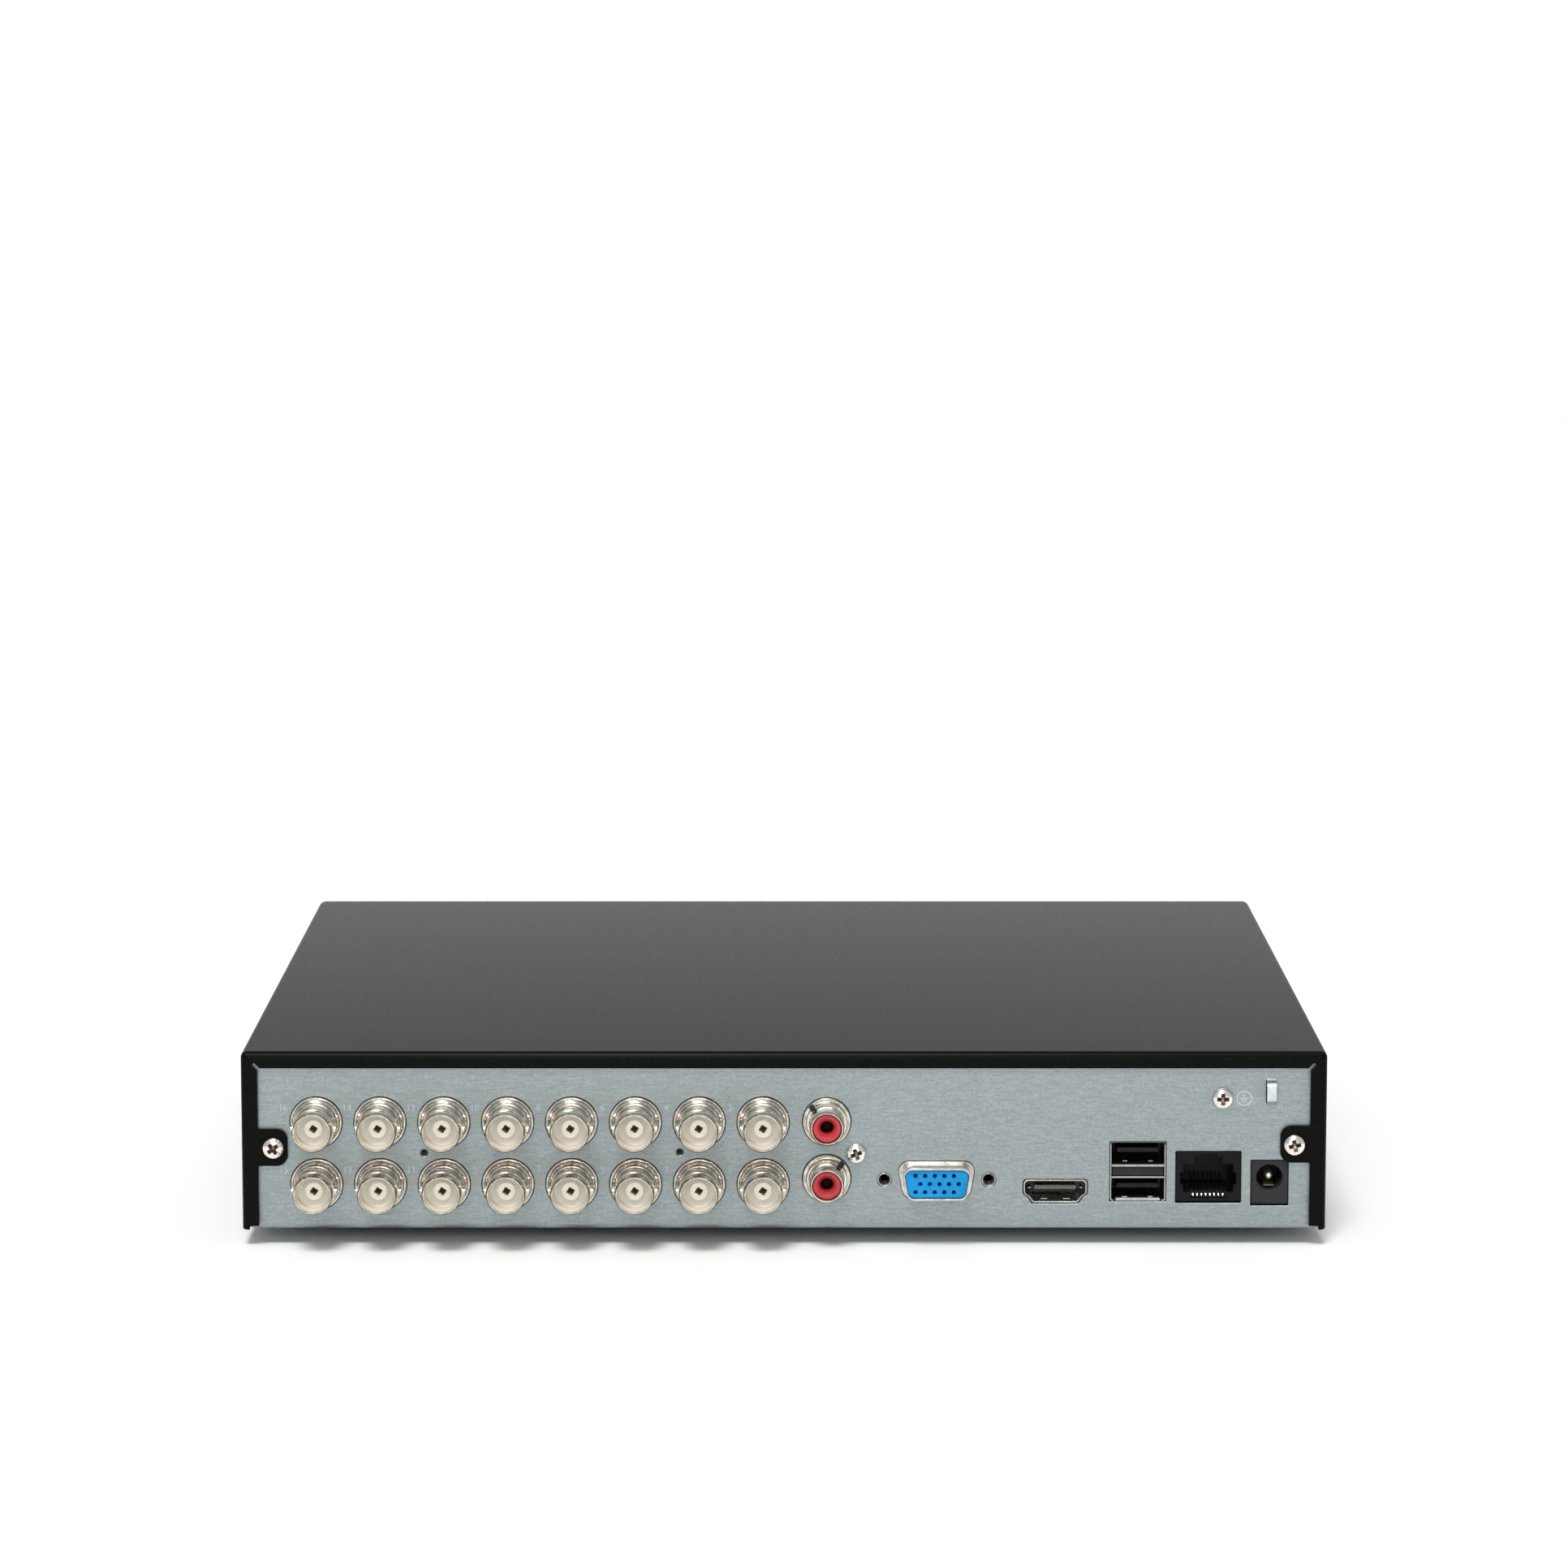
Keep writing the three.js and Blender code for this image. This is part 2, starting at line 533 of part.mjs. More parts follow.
// Eight sprung contacts in their carrier comb at the bottom of the network socket.
function lanContactsGeometry() {
  const low = LAN.z - LAN.height / 2 + GAP + LAN.lip + GAP;
  const back = LAN.back + 6.5 + GAP;
  const carrier = block([LAN.x - 5.4, LAN.x + 5.4], [back, back + 1.7], [low, low + 5.5]);
  const blades = [];
  for (let i = 0; i < 8; i += 1) {
    const x = LAN.x + (i - 3.5) * 1.02;
    blades.push(block([x - 0.22, x + 0.22], [back + 1.6, FACE - 1.6], [low, low + 0.6]));
  }
  return join([carrier, ...blades]);
}

function powerHousingGeometry() {
  const [w, h] = [POWER.width / 2 - GAP, POWER.height / 2 - GAP];
  const body = block([POWER.x - w, POWER.x + w], [POWER.back, FACE], [POWER.z - h, POWER.z + h]);
  return cut(body, [rodY([POWER.x, POWER.boreZ], POWER.bore, [POWER.back + 2.5, FACE + 1], 16)]);
}

function powerPinGeometry() {
  return turned([[0, 0], [1, 0], [1, 9.3], [0.6, 9.9], [0, 9.9]], 10);
}

// ---- main board ----------------------------------------------------------------------

// Upright cans, given by X, Y, radius and height.
const CAPACITORS = [
  [-108, 78, 4, 11], [-98, 74, 4, 11], [-108, 66, 3.2, 8], [60, 40, 3.2, 8], [70, 40, 3.2, 8],
  [-60, 78, 2.6, 6],
];

// Flat packages, given by X, Y, width, depth and height.
const CHIPS = [
  [PROCESSOR.x, PROCESSOR.y, PROCESSOR.size, PROCESSOR.size, PROCESSOR.rise],
  [14, 60, 14, 10, 1.2], [14, 46, 14, 10, 1.2], [-62, 56, 9, 9, 1], [-86, 62, 12, 8, 1.4],
  [60, 62, 14, 14, 1.2], [88, 62, 14, 14, 1.2], [-40, 28, 8, 6, 1.8], [-82, 76, 16, 7, 4],
  [36, 28, 8, 5, 1.5],
];

// Circuit board with its soldered parts: chips, cans, coils, sockets and the cell holder.
function mainBoardGeometry() {
  const top = BOARD_TOP - 0.05;
  const holes = BOARD_SCREWS.map((at) => rodZ(at, HOLE.board, [BOARD_TOP - 3, BOARD_TOP + 1]));
  const sheet = [BOARD_TOP - BOARD_THICK, BOARD_TOP];
  const board = cut(block([-BOARD_X, BOARD_X], [BOARD_FRONT, BOARD_REAR], sheet), holes);
  const chips = CHIPS.map(([x, y, w, d, h]) => (
    block([x - w / 2, x + w / 2], [y - d / 2, y + d / 2], [top, BOARD_TOP + h])
  ));
  const cans = CAPACITORS.map(([x, y, r, h]) => rodZ([x, y], r, [top, BOARD_TOP + h], 8));
  const sockets = [
    block([86, 104], [BOARD_FRONT, BOARD_FRONT + 9], [top, BOARD_TOP + 6]),
    block([60, 78], [BOARD_FRONT, BOARD_FRONT + 9], [top, BOARD_TOP + 7]),
    block([-86, -74], [BOARD_FRONT + 2, BOARD_FRONT + 8], [top, BOARD_TOP + 5.5]),
    block([106.5, 112.5], [32, 42], [top, BOARD_TOP + 5]),
  ];
  const buzzer = rodZ([-98, 44], 6, [top, BOARD_TOP + 7]);
  const cellTray = cut(rodZ(CELL.at, CELL.holder, [top, BOARD_TOP + 3.6]),
    [rodZ(CELL.at, CELL.radius + 0.8, [BOARD_TOP + 0.8, BOARD_TOP + 5])]);
  return join([board, ...chips, ...cans, ...sockets, buzzer, cellTray]);
}

function heatsinkGeometry() {
  const { x, y } = PROCESSOR;
  const [size, low] = [38, BOARD_TOP + PROCESSOR.rise + GAP];
  const fins = [];
  for (let i = 0; i < 9; i += 1) {
    const at = x - size / 2 + 0.6 + i * ((size - 1.2) / 8);
    fins.push(block([at - 0.6, at + 0.6], [y - size / 2, y + size / 2], [low + 1.9, low + 12]));
  }
  return join([block([x - size / 2, x + size / 2], [y - size / 2, y + size / 2], [low, low + 2]), ...fins]);
}

function coinCellGeometry() {
  const r = CELL.radius;
  const profile = [[0, 0], [r - 1, 0], [r, 0.5], [r, 3.2], [0, 3.2]];
  return turned(profile).rotateX(Math.PI / 2);
}

// ---- hard drive ----------------------------------------------------------------------

function driveScrewPlaces() {
  return DRIVE_SCREWS.map(([x, y]) => [DRIVE.x + x, DRIVE.y + y]);
}

// Cast tub: round bay for the disc, square bay for the arm, recess below for its board.
function driveBaseGeometry() {
  const [hx, hy] = [DRIVE.length / 2, DRIVE.width / 2];
  const [low, rim] = [DRIVE.bottom, DRIVE.bottom + 24.6];
  const body = block([DRIVE.x - hx, DRIVE.x + hx], [DRIVE.y - hy, DRIVE.y + hy], [low, rim]);
  const screwHoles = driveScrewPlaces().map((at) => rodZ(at, HOLE.drive, [low - 1, low + 6], 8));
  return cut(body, [
    rodZ(SPINDLE, DISC_RADIUS + 1.2, [DRIVE_DECK, rim + 1], 24),
    block([DRIVE.x - 4, DRIVE.x + hx - 5], [DRIVE.y - hy + 4, DRIVE.y + hy - 3.4],
      [DRIVE_DECK, rim + 1]),
    block([DRIVE.x - 55, DRIVE.x + hx + 1], [DRIVE.y - 40, DRIVE.y + 40], [low - 1, low + 5.2]),
    ...screwHoles,
  ]);
}

function driveLidGeometry() {
  const size = [DRIVE.length - 1.4, DRIVE.width - 1.4];
  const shape = roundedRectangle([DRIVE.x, DRIVE.y], size, 4);
  const top = DRIVE.bottom + DRIVE.height;
  const recess = rodZ(SPINDLE, HUB_RADIUS + 2, [top - 0.35, top + 1], 16);
  return cut(plateZ(shape, [top - 1.2, top]), [recess]);
}

// The spindle hub with its one disc.
function driveDiscGeometry() {
  const [hub, clamp] = [HUB_RADIUS, HUB_RADIUS + 0.5];
  const profile = [
    [0, 0], [hub, 0], [hub, 6], [DISC_RADIUS, 6], [DISC_RADIUS, 7.3], [clamp, 7.3], [clamp, 9.5], [0, 9.5],
  ];
  return turned(profile, 24).rotateX(Math.PI / 2).translate(0, 0, DRIVE_DECK + GAP);
}

// Head arm about its pivot: two blades that straddle the disc, and the coil behind.
function driveArmGeometry() {
  const blade = outline([[4, -5], [ARM_LENGTH - 8, -1.6], [ARM_LENGTH, -1.2], [ARM_LENGTH, 1.2],
    [ARM_LENGTH - 8, 1.6], [4, 5]]);
  const coil = outline([[-4, -4], [-4, 4], [-15, 8], [-17, 4], [-17, -4], [-15, -8]]);
  const arm = join([
    rodZ([0, 0], 6.5, [0.4, 12], 16),
    plateZ(blade, [4.2, 5.2]),
    plateZ(blade, [8.1, 9.1]),
    plateZ(coil, [5.2, 8.1]),
  ]);
  const turn = THREE.MathUtils.degToRad(PARKED_DEG);
  return geometryOf(arm).rotateZ(turn).translate(0, 0, DRIVE_DECK + GAP);
}

// The drive's own board, in the recess under it, with its connector block at the end.
function driveBoardGeometry() {
  const low = DRIVE.bottom + 0.5;
  const end = DRIVE.x + DRIVE.length / 2;
  const board = block([DRIVE.x - 54, end - 2], [DRIVE.y - 39, DRIVE.y + 39], [low, low + 1.2]);
  const connector = block([end - 8, end - 0.4], [DRIVE.y - 34, DRIVE.y + 12], [low + 1.1, low + 4.4]);
  return join([board, connector]);
}

// ---- internal cables -----------------------------------------------------------------

const DRIVE_END = DRIVE.x + DRIVE.length / 2 + GAP;
const BOARD_EDGE = BOARD_FRONT - GAP;

// Data cable: from the drive's end, along the floor, up to its socket on the main board.
function dataCableGeometry() {
  const route = [
    [DRIVE_END + 8, DRIVE.y + 2, 8.8], [DRIVE_END + 15, DRIVE.y + 2, 8], [64, -46, 7],
    [70, -34, 7], [70, -18, 8], [69, -5, 11.5], [69, BOARD_EDGE - 9, 13],
    [69, BOARD_EDGE - 6, 13.2],
  ];
  const plugs = [
    block([DRIVE_END, DRIVE_END + 9], [DRIVE.y - 5, DRIVE.y + 9], [6.4, 11.2]),
    block([62.5, 75.5], [BOARD_EDGE - 8, BOARD_EDGE], [10.8, 15.6]),
  ];
  return join([cable(route, 1.5, 16), ...plugs]);
}

// Power cable: from the drive's end to the board's supply socket.
function powerCableGeometry() {
  const route = [
    [DRIVE_END + 8, DRIVE.y - 20, 8.8], [DRIVE_END + 16, DRIVE.y - 20, 8.4], [74, -68, 8],
    [88, -54, 8], [95, -36, 8], [96, -18, 9], [95, -5, 12.5], [95, BOARD_EDGE - 9, 13.4],
    [95, BOARD_EDGE - 7, 13.5],
  ];
  const plugs = [
    block([DRIVE_END, DRIVE_END + 9], [DRIVE.y - 32, DRIVE.y - 8], [6.4, 11.2]),
    block([87.5, 102.5], [BOARD_EDGE - 8, BOARD_EDGE], [10.8, 16.2]),
  ];
  return join([cable(route, 2.3, 18), ...plugs]);
}

// Lead of the indicator lights: along the floor beside the tray wall, onto the main board.
function ledCableGeometry() {
  const route = [
    [LIGHTS.x, -103.5, 13], [LIGHTS.x + 1, -98, 11.5], [108, -88, 7.2], [116, -72, 6.6],
    [118, -30, 6.6], [118, -6, 7.4], [118, 6, 12], [117.4, 18, 14.2], [117, 30, 14],
    [116, 35, 13.6], [114.8, 37, 13.2],
  ];
  const plugs = [
    block([LIGHTS.x - 4.5, LIGHTS.x + 4.5], [-106.2, -102.5], [11.2, 15.3]),
    block([112.8, 116], [33, 41], [11, 15]),
  ];
  return join([cable(route, 1.1, 30), ...plugs]);
}

// ---- assembly ------------------------------------------------------------------------

function geometryOf(body) {
  const { vertProperties, triVerts } = body.getMesh();
  const geometry = new THREE.BufferGeometry();
  geometry.setAttribute('position', new THREE.BufferAttribute(vertProperties, 3));
  geometry.setIndex(new THREE.BufferAttribute(triVerts, 1));
  return geometry;
}

function part(name, shape, material, position = [0, 0, 0], turnX = 0) {
  const geometry = shape.isBufferGeometry ? shape : geometryOf(shape);
  const mesh = new THREE.Mesh(geometry, material);
  mesh.name = name;
  mesh.position.set(...position);
  mesh.rotation.x = turnX;
  return mesh;
}

function caseParts() {
  const group = new THREE.Group();
  group.add(
    part('chassis', chassisGeometry(), galvanised),
    part('front_bezel', bezelGeometry(), glossPlastic),
    part('light_guide', lightGuideGeometry(), clearPlastic),
    part('led_board', ledBoardGeometry(), boardGreen),
    part('led_cable', ledCableGeometry(), greyCable),
  );
  FEET.forEach(([x, y], i) => group.add(part(`foot_${i + 1}`, footGeometry(), rubber, [x, y, 0])));
  return group;
}

function coverParts() {
  const group = new THREE.Group();
  group.add(part('top_cover', coverGeometry(), powderCoat));
  for (const [side, [x, z]] of Object.entries(COVER_SCREWS)) {
    const screw = screwGeometry(2.55, SHANK, 5);
    group.add(part(`cover_screw_${side}`, screw, zincScrew, [x, FLANGE_OUT + GAP, z]));
  }
  return group;
}

function panelParts() {
  const group = new THREE.Group();
  jackCentres().forEach(([x, z], i) => {
    const name = `bnc_jack_${String(i + 1).padStart(2, '0')}`;
    group.add(part(name, jackGeometry(), nickel, [x, PANEL_OUT, z]));
  });
  ['upper', 'lower'].forEach((name, i) => {
    const place = [AUDIO.x, PANEL_OUT, AUDIO.rows[i]];
    group.add(part(`rca_shell_${name}`, audioShellGeometry(), nickel, place));
  });
  const [cx, cz] = CONNECTOR_SCREW;
  const [gx, gz] = GROUND_SCREW;
  group.add(
    part('bnc_housing', jackHousingGeometry(), creamPlastic),
    part('rca_housing', audioHousingGeometry(), redPlastic),
    part('vga_shell', vgaShellGeometry(), nickel),
    part('vga_insert', vgaInsertGeometry(), bluePlastic),
    part('hdmi_shell', hdmiShellGeometry(), nickel),
    part('hdmi_insert', hdmiInsertGeometry(), blackPlastic),
    part('usb_shell', usbShellGeometry(), nickel),
    part('usb_insert', usbInsertGeometry(), blackPlastic),
    part('rj45_housing', lanHousingGeometry(), blackPlastic),
    part('rj45_contacts', lanContactsGeometry(), brass),
    part('dc_jack_housing', powerHousingGeometry(), blackPlastic),
    part('dc_jack_pin', powerPinGeometry(), nickel, [POWER.x, POWER.back + 2.5 + GAP, POWER.boreZ]),
    part('connector_screw', screwGeometry(2.4, SHANK, 7), zincScrew, [cx, PANEL_OUT + GAP, cz]),
    part('ground_screw', screwGeometry(2.5, SHANK, 6), zincScrew, [gx, PANEL_OUT + GAP, gz]),
  );
  return group;
}

function boardParts() {
  const group = new THREE.Group();
  group.add(
    part('main_board', mainBoardGeometry(), boardGreen),
    part('heatsink', heatsinkGeometry(), castAluminium),
    part('coin_cell', coinCellGeometry(), brightSteel, [...CELL.at, BOARD_TOP + 0.8 + GAP]),
  );
  BOARD_SCREWS.forEach(([x, y], i) => {
    const place = [x, y, BOARD_TOP + GAP];
    group.add(part(`board_screw_${i + 1}`, screwGeometry(2.6, SHANK, 5), zincScrew, place, Math.PI / 2));
  });
  return group;
}

function driveParts() {
  const group = new THREE.Group();
  group.add(
    part('hdd_base', driveBaseGeometry(), castAluminium),
    part('hdd_lid', driveLidGeometry(), brightSteel),
    part('hdd_platter', driveDiscGeometry(), brightSteel, [...SPINDLE, 0]),
    part('hdd_actuator', driveArmGeometry(), castAluminium, [...PIVOT, 0]),
    part('hdd_board', driveBoardGeometry(), boardGreen),
    part('sata_data_cable', dataCableGeometry(), redCable),
    part('sata_power_cable', powerCableGeometry(), greyCable),
  );
  driveScrewPlaces().forEach(([x, y], i) => {
    const place = [x, y, CASE_BOTTOM - GAP];
    group.add(part(`hdd_screw_${i + 1}`, screwGeometry(2.6, 1.4, 6), zincScrew, place, -Math.PI / 2));
  });
  return group;
}

const group = new THREE.Group();
group.add(caseParts(), coverParts(), panelParts(), boardParts(), driveParts());

export default group;
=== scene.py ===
# Compact security video recorder: finished pieces, materials, studio and camera.
# Sizes are in millimetres in the row frame, and become metres in make_object. The lights and
# the camera are placed in metres.

import math

import bmesh
import bpy
from mathutils import Matrix, Vector


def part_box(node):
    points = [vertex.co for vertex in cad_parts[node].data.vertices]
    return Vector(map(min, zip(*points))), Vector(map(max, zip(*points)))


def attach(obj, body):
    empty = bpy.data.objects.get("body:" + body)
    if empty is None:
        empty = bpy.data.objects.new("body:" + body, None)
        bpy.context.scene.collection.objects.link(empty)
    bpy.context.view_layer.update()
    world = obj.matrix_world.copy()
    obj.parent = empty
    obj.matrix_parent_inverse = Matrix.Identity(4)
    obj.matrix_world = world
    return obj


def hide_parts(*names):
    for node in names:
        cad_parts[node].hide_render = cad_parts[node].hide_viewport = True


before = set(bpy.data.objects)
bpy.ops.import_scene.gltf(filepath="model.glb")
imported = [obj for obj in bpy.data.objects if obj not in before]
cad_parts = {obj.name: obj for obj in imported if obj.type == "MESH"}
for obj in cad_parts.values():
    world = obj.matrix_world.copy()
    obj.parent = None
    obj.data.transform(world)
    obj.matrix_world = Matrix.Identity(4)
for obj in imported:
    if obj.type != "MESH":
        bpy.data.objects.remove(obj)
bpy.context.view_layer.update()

MM = 0.001
SHEET = 0.8
GAP = 0.3


def box_mm(node):
    """Lowest and highest corner of a CAD node, in millimetres."""
    lo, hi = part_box(node)
    return lo / MM, hi / MM


def middle(node):
    lo, hi = box_mm(node)
    return (lo + hi) / 2


COVER_LO, COVER_HI = box_mm("top_cover")
TRAY_LO, TRAY_HI = box_mm("chassis")
FLANGE_Y = COVER_HI.y
PANEL_Y = FLANGE_Y - SHEET - GAP
FLOOR_Z = TRAY_LO.z + SHEET
MOUTH_Y = box_mm("bnc_jack_01")[1].y
JACK_NAMES = [f"bnc_jack_{i:02d}" for i in range(1, 17)]


# ---- node materials ------------------------------------------------------------------

class Material:
    """A small wrapper that builds a node material round one Principled shader."""

    def __init__(self, name, color, roughness=0.5, metallic=0.0, **sockets):
        self.material = bpy.data.materials.new(name)
        self.material.use_nodes = True
        self.tree = self.material.node_tree
        self.shader = self.tree.nodes["Principled BSDF"]
        self.set("Base Color", (*color, 1.0))
        self.set("Roughness", roughness)
        self.set("Metallic", metallic)
        for socket, value in sockets.items():
            self.set(socket.replace("_", " "), value)

    def set(self, socket, value):
        self.shader.inputs[socket].default_value = value

    def node(self, kind, **values):
        made = self.tree.nodes.new(kind)
        for key, value in values.items():
            if hasattr(made, key):
                setattr(made, key, value)
            else:
                made.inputs[key.replace("_", " ")].default_value = value
        return made

    def link(self, source, target):
        self.tree.links.new(source, target)

    def place(self, scale=(1, 1, 1)):
        """Object coordinates, stretched by scale."""
        coords = self.node("ShaderNodeTexCoord")
        mapping = self.node("ShaderNodeMapping")
        mapping.inputs["Scale"].default_value = scale
        self.link(coords.outputs["Object"], mapping.inputs["Vector"])
        return mapping.outputs["Vector"]

    def noise(self, scale, detail=3.0, stretch=(1, 1, 1), roughness=0.5):
        made = self.node("ShaderNodeTexNoise", Scale=scale, Detail=detail, Roughness=roughness)
        self.link(self.place(stretch), made.inputs["Vector"])
        return made.outputs["Fac"]

    def ramp(self, value, stops):
        made = self.node("ShaderNodeValToRGB")
        elements = made.color_ramp.elements
        while len(elements) < len(stops):
            elements.new(0.5)
        for element, (position, color) in zip(elements, stops):
            element.position = position
            element.color = (*color, 1.0) if len(color) == 3 else color
        self.link(value, made.inputs["Fac"])
        return made.outputs["Color"]

    def spread(self, value, low, high):
        """A 0 to 1 value as a range of numbers."""
        made = self.node("ShaderNodeMapRange")
        made.inputs["To Min"].default_value = low
        made.inputs["To Max"].default_value = high
        self.link(value, made.inputs["Value"])
        return made.outputs["Result"]

    def color(self, value, stops):
        self.link(self.ramp(value, stops), self.shader.inputs["Base Color"])
        return self

    def rough(self, value, low, high):
        self.link(self.spread(value, low, high), self.shader.inputs["Roughness"])
        return self

    def bump(self, value, distance, strength=1.0):
        """Adds a bump of that height in millimetres, on top of any bump already there."""
        made = self.node("ShaderNodeBump", Strength=strength, Distance=distance * MM)
        self.link(value, made.inputs["Height"])
        normal = self.shader.inputs["Normal"]
        if normal.links:
            self.link(normal.links[0].from_socket, made.inputs["Normal"])
        self.link(made.outputs["Normal"], normal)
        return self


def near(color, share):
    """The colour made lighter or darker by a share."""
    return tuple(min(1.0, c * share) for c in color)


def plastic(name, color, roughness=0.45, grain=900, height=0.012, **sockets):
    """Moulded plastic: a fine spark-eroded grain and slightly uneven gloss."""
    made = Material(name, color, roughness, **sockets)
    made.color(made.noise(60, 2), [(0.3, near(color, 0.88)), (0.7, near(color, 1.1))])
    made.rough(made.noise(140, 3), roughness - 0.06, roughness + 0.08)
    return made.bump(made.noise(grain, 2), height)


def plated(name, color, roughness=0.2, darkest=0.86):
    """Bright plate over a turned part, with faint handling marks and cloudy patches."""
    made = Material(name, color, roughness, 1.0)
    made.color(made.noise(420, 4, roughness=0.7),
               [(0.38, near(color, darkest)), (0.58, near(color, 1.06))])
    made.rough(made.noise(500, 3), roughness - 0.05, roughness + 0.10)
    return made.bump(made.noise(900, 2, (1, 0.25, 1)), 0.0015, 0.5)


def galvanised_steel():
    """Zinc coated sheet: a fine grain along the width, speckle and faint cloudy patches."""
    color = (0.302, 0.342, 0.347)
    made = Material("galvanised steel", color, 0.46, 1.0)
    grain = made.noise(1.0, 3, (330, 2300, 2300), 0.7)
    speckle = made.noise(2600, 2)
    mixed = made.node("ShaderNodeMath", operation="MULTIPLY_ADD")
    mixed.inputs[1].default_value = 0.5
    made.link(grain, mixed.inputs[0])
    made.link(made.spread(speckle, 0.0, 0.5), mixed.inputs[2])
    made.color(mixed.outputs["Value"], [(0.36, near(color, 0.84)), (0.5, color),
                                        (0.64, near(color, 1.16))])
    made.rough(made.noise(170, 3, (0.6, 1, 1)), 0.43, 0.5)
    return made.bump(grain, 0.005, 0.4)


def powder_coat():
    """Black powder coat: fine orange peel with a soft sheen, and lighter worn grains."""
    color = (0.0021, 0.0022, 0.0019)
    made = Material("black powder coat", color, 0.4, Specular_IOR_Level=0.07,
                    Specular_Tint=(1.0, 1.0, 0.93, 1.0))
    speck = made.noise(1500, 2)
    made.color(speck, [(0.35, near(color, 0.6)), (0.66, color), (0.8, near(color, 4.0))])
    made.rough(made.noise(900, 3), 0.31, 0.43)
    made.bump(made.noise(1100, 2), 0.035, 0.8)
    return made.bump(made.noise(420, 2), 0.012, 0.4)


def circuit_board():
    """Green solder mask over copper: traces show as slightly lighter lines."""
    color = (0.012, 0.085, 0.036)
    made = Material("solder mask", color, 0.3)
    lines = made.node("ShaderNodeTexBrick", Scale=170.0)
    lines.offset = 0.5
    lines.inputs["Mortar Size"].default_value = 0.09
    made.link(made.place((1, 1, 1)), lines.inputs["Vector"])
    made.color(lines.outputs["Fac"], [(0.0, near(color, 1.55)), (1.0, near(color, 0.75))])
    made.rough(made.noise(300, 3), 0.24, 0.4)
    return made.bump(lines.outputs["Fac"], 0.02, 0.6)


def rubber():
    made = Material("black rubber", (0.016, 0.016, 0.017), 0.8)
    made.color(made.noise(90, 3), [(0.3, (0.012, 0.012, 0.013)), (0.75, (0.028, 0.028, 0.03))])
    made.rough(made.noise(200, 3), 0.7, 0.92)
    return made.bump(made.noise(1200, 3), 0.03)


def cast_metal(name, color, roughness=0.42):
    made = Material(name, color, roughness, 1.0)
    made.color(made.noise(110, 4), [(0.3, near(color, 0.8)), (0.7, near(color, 1.12))])
    made.rough(made.noise(260, 3), roughness - 0.08, roughness + 0.12)
    return made.bump(made.noise(1300, 3), 0.025)


def brushed(name, color, roughness=0.28):
    made = Material(name, color, roughness, 1.0)
    grain = made.noise(1.0, 4, (2200, 50, 2200), 0.6)
    made.color(grain, [(0.3, near(color, 0.85)), (0.7, near(color, 1.1))])
    made.rough(grain, roughness - 0.06, roughness + 0.1)
    return made.bump(grain, 0.006, 0.5)


STEEL = galvanised_steel().material
COAT = powder_coat().material
NICKEL = plated("warm nickel", (0.73, 0.68, 0.60), 0.14, 0.6).material
# Cream diffuse colour for the nickel bore wall: a painted reflection of the cream insulator and the
# front light, not the nickel's own colour.
BORE_PAINTED_REFLECTION = plastic("bore painted cream reflection", (0.72, 0.655, 0.55), 0.35).material
# Screw metal darkened for the cross recess: painted shade in the recess.
RECESS_PAINTED_SHADE = plated("recess painted shade", (0.24, 0.18, 0.15), 0.3).material
# A lighter copy of the panel's zinc for the lanced strap: painted highlight.
ZINC_PAINTED_HIGHLIGHT = plated("zinc lightened as painted highlight", (0.62, 0.68, 0.68), 0.3).material
SATIN_PIN = plated("satin pin", (0.90, 0.88, 0.84), 0.42).material
# Near-black red for the bottom of the audio socket's hole: painted shade inside the hole.
WELL_PAINTED_SHADE = plastic("dark red well painted shade", (0.022, 0.003, 0.003), 0.6, Specular_IOR_Level=0.1).material
SCREW = plated("bright screw", (0.85, 0.83, 0.78), 0.16).material
SHELL = plated("tinned shell", (0.60, 0.575, 0.53), 0.2, 0.7).material
# Contact bronze darkened well below its own tone: partly the metal's colour, partly painted shade deep
# in the holes.
BRONZE_PAINTED_SHADE = plated("bronze darkened as painted shade", (0.085, 0.045, 0.014), 0.45).material
# Nickel darkened far below its own tone: painted shade for socket shells and contact wires that sit in
# shadow.
NICKEL_PAINTED_SHADE = plated("nickel darkened as painted shade", (0.13, 0.125, 0.12), 0.3).material
SOCKET_METAL = plated("socket nickel", (0.46, 0.45, 0.43), 0.24).material
GOLD = plated("gold flash", (0.78, 0.54, 0.24), 0.22).material
DULL_BRASS = plated("dull brass", (0.42, 0.36, 0.22), 0.42, 0.6).material
CREAM = plastic("cream insulator", (0.94, 0.91, 0.85), 0.42).material
BLACK = plastic("black moulding", (0.005, 0.005, 0.0055), 0.42, Specular_IOR_Level=0.2).material
GREY = plastic("grey moulding", (0.075, 0.072, 0.07), 0.4).material
CHARCOAL = plastic("charcoal moulding", (0.018, 0.018, 0.019), 0.5, Specular_IOR_Level=0.2).material
GLOSS = plastic("gloss black moulding", (0.003, 0.003, 0.0035), 0.2, 500, 0.004,
                Specular_IOR_Level=0.14).material
BLUE = plastic("bright blue moulding", (0.004, 0.222, 0.51), 0.5, Specular_IOR_Level=0.2).material
RED = plastic("red moulding", (0.37, 0.028, 0.034), 0.3).material
WHITE = plastic("white moulding", (0.74, 0.74, 0.72), 0.45).material
BOARD = circuit_board().material
RUBBER = rubber().material
CAST = cast_metal("cast aluminium", (0.50, 0.51, 0.52)).material
FINNED = cast_metal("extruded aluminium", (0.66, 0.67, 0.68), 0.34).material
STAINLESS = brushed("stainless sheet", (0.58, 0.59, 0.60)).material
MIRROR_DISC = plated("polished disc", (0.75, 0.75, 0.76), 0.08, 0.98).material
RED_CABLE = plastic("red insulation", (0.52, 0.018, 0.02), 0.42).material
YELLOW_WIRE = plastic("yellow insulation", (0.75, 0.50, 0.03), 0.42).material
